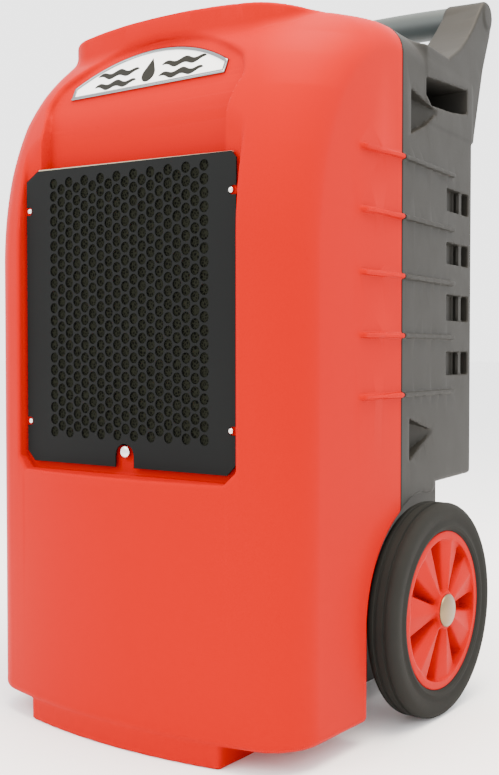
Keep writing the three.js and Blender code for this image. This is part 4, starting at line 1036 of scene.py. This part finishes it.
def handle_bar():
    """The grip between the two arms, with thinner ends inside them."""
    grip = [(x, BAR_RADIUS) for x in np.linspace(-BAR_SHOULDER_X, BAR_SHOULDER_X, 49)]
    end = [(BAR_SHOULDER_X, BAR_END_RADIUS), (BAR_END_X, BAR_END_RADIUS)]
    stations = [(-x, radius) for x, radius in reversed(end)] + grip + end
    segments = BAR_SEGMENTS
    points = []
    for x, radius in stations:
        for k in range(segments):
            angle = 2 * math.pi * k / segments
            points.append((x, BAR_Y + radius * math.cos(angle),
                           BAR_Z + bar_lift(x) + radius * math.sin(angle)))
    faces = []
    for row in range(len(stations) - 1):
        for k in range(segments):
            n = (k + 1) % segments
            faces.append([row * segments + k, row * segments + n,
                          (row + 1) * segments + n, (row + 1) * segments + k])
    last = (len(stations) - 1) * segments
    faces.append(list(range(segments)))
    faces.append(list(range(last, last + segments)))
    piece = make_object("grip_bar", points, faces, BAR_GREY, 40)
    tidy(piece)
    return piece


finished(handle_bar(), "machine", "handle_grey", "handle_bar")


# ------------------------------------------------------------------ wheels
TYRE_RADIUS = 150
TYRE_INNER = 110.6
TYRE_IN_X = 252
TYRE_OUT_X = 298
HUB_IN_X = 256
HUB_OUT_X = 294
HUB_RADIUS = 110.3
BUSH_RADIUS = 13.4
CAP_RADIUS = 23
CAP_OUT_X = 306
SPOKE_ANGLES = [math.radians(a) for a in (22, 73.5, 125, 176, 228, 279, 331)]


def tyre_profile():
    half = (TYRE_OUT_X - TYRE_IN_X) / 2
    profile = [(TYRE_INNER, half - 5), (TYRE_INNER + 3, half - 1.5), (TYRE_INNER + 7, half - 0.5)]
    profile += [(TYRE_INNER + 12, half - 2.5), (TYRE_INNER + 16, half - 2.5), (TYRE_INNER + 20, half - 0.5)]
    profile += [(TYRE_RADIUS - 13, half - 0.2)]
    profile += [(TYRE_RADIUS - 12 + 12 * math.sin(a), half - 12 + 12 * math.cos(a)) for a in
                np.linspace(0.2, math.pi / 2 - 0.15, 6)]
    for groove in (7, -7):
        profile += [(TYRE_RADIUS - 0.2, groove + 3), (TYRE_RADIUS - 3, groove + 2),
                    (TYRE_RADIUS - 3, groove - 2), (TYRE_RADIUS - 0.2, groove - 3)]
    outer = profile[:-8]
    mirrored = [(radius, -station) for radius, station in reversed(outer)]
    return profile + mirrored


SPOKE_HALF = 0.3  # half of a spoke's width, as an angle
SPOKE_DRAFT = 0.3  # how much a spoke widens toward its root
SPOKE_RISE = 0.06  # how much a spoke's crest rises toward the centre
SPOKE_CROWN = 4
BOSS_OUT_X = 299
HUB_BOSS_RADIUS = 26
RIM_INNER = 99
DISH_RADIUS = 101
DISH_DEPTH = 9


def hub_field(x, y, z):
    """A dished wheel centre seen from its outer side; x grows outward from the hub's inner face."""
    radius = np.hypot(y, z)
    angle = np.arctan2(z, y)
    depth = HUB_OUT_X - HUB_IN_X
    rim = both(radius - HUB_RADIUS, RIM_INNER - radius, 1)
    rim = both(rim, np.abs(x - depth / 2) - depth / 2, 1.5)
    dish = both(radius - DISH_RADIUS, np.abs(x - DISH_DEPTH) - 3, 1)
    boss = both(radius - HUB_BOSS_RADIUS, np.maximum(-x, x - BOSS_OUT_X + HUB_IN_X), 2)
    spokes = np.full(np.shape(x), 1e3)
    for middle in SPOKE_ANGLES:
        turn = np.abs((angle - middle + math.pi) % (2 * math.pi) - math.pi)
        crest = depth - 1.5 + SPOKE_RISE * (DISH_RADIUS - radius)
        crest = crest - SPOKE_CROWN * np.clip(turn / SPOKE_HALF, 0, 1.5)
        across = ((turn - SPOKE_HALF) * radius + SPOKE_DRAFT * (x - crest)) * 0.9
        spokes = np.minimum(spokes, both(across, np.maximum(x - crest, 8 - x), 1.5))
    spokes = both(spokes, radius - DISH_RADIUS, 1)
    hub = either(either(dish, rim, 3), boss, 4)
    hub = either(hub, spokes, 4)
    return without(hub, radius - BUSH_RADIUS, 0.5)


def hub(side, outward):
    points, faces = net(hub_field, (-3, -114, -114), (48, 114, 114), 1.6)
    x, y, z = points.T
    points = np.stack([outward * (HUB_IN_X + x), WHEEL_Y + y, WHEEL_Z + z], -1)
    if outward < 0:
        faces = faces[:, ::-1]
    piece = make_object(f"wheel_centre_{side}", points, faces, HUB_RED, 35)
    thin_out(piece, 40000)
    piece.data.polygons.foreach_set("use_smooth", [True] * len(piece.data.polygons))
    piece.data.set_sharp_from_angle(angle=math.radians(35))
    return piece


def axle_cap(side, outward):
    profile = [(0, CAP_OUT_X)]
    profile += [(CAP_RADIUS * math.sin(a), CAP_OUT_X - 6 + 6 * math.cos(a))
                for a in np.linspace(0.25, math.pi / 2, 8)]
    profile += [(CAP_RADIUS, BOSS_OUT_X + 0.3), (0, BOSS_OUT_X + 0.3)]
    return revolve(f"hub_cap_{side}", profile, (0, WHEEL_Y, WHEEL_Z), CAP_STEEL, 64, outward)


for side, outward in (("left", -1), ("right", 1)):
    middle = (outward * (TYRE_IN_X + TYRE_OUT_X) / 2, WHEEL_Y, WHEEL_Z)
    tyre = revolve(f"rubber_tyre_{side}", tyre_profile(), middle, RUBBER, 128, outward)
    finished(tyre, f"wheel_{side}", "tyre_rubber", f"tyre_{side}")
    finished(hub(side, outward), f"wheel_{side}", "hub_red", f"hub_{side}")
    finished(axle_cap(side, outward), "machine", "bright_steel", f"axle_cap_{side}")


# ------------------------------------------------------------------ floor and light
FLOOR_REACH = 60
WORLD_STRENGTH = 3.2


def make_floor():
    mesh = bpy.data.meshes.new("floor")
    reach = FLOOR_REACH
    corners = [(-reach, -reach, 0), (reach, -reach, 0), (reach, reach, 0), (-reach, reach, 0)]
    mesh.from_pydata(corners, [], [(0, 1, 2, 3)])
    mesh.materials.append(surface("floor", (246, 246, 246), 0.8, tone=0.005, patch=0.5, relief=0.0))
    floor = bpy.data.objects.new("floor", mesh)
    bpy.context.scene.collection.objects.link(floor)


def area_light(name, place_, target, size, power, colour=(1, 1, 1)):
    data = bpy.data.lights.new(name, "AREA")
    data.shape = "RECTANGLE"
    data.size, data.size_y = size
    data.energy = power
    data.color = colour
    light = bpy.data.objects.new(name, data)
    light.location = place_
    light.rotation_euler = (Vector(target) - Vector(place_)).to_track_quat("-Z", "Y").to_euler()
    bpy.context.scene.collection.objects.link(light)


def make_world():
    world = bpy.data.worlds.new("studio")
    world.use_nodes = True
    background = world.node_tree.nodes["Background"]
    background.inputs["Color"].default_value = (1, 1, 1, 1)
    background.inputs["Strength"].default_value = WORLD_STRENGTH
    bpy.context.scene.world = world


make_floor()
make_world()
area_light("key", (-1.2, -2.6, 2.2), target=(0, 0, 0.55), size=(1.6, 1.6), power=60)
area_light("top", (0.6, -0.2, 3.0), target=(0.1, 0, 0.6), size=(1.8, 1.8), power=220, colour=(1.0, 0.86, 0.7))
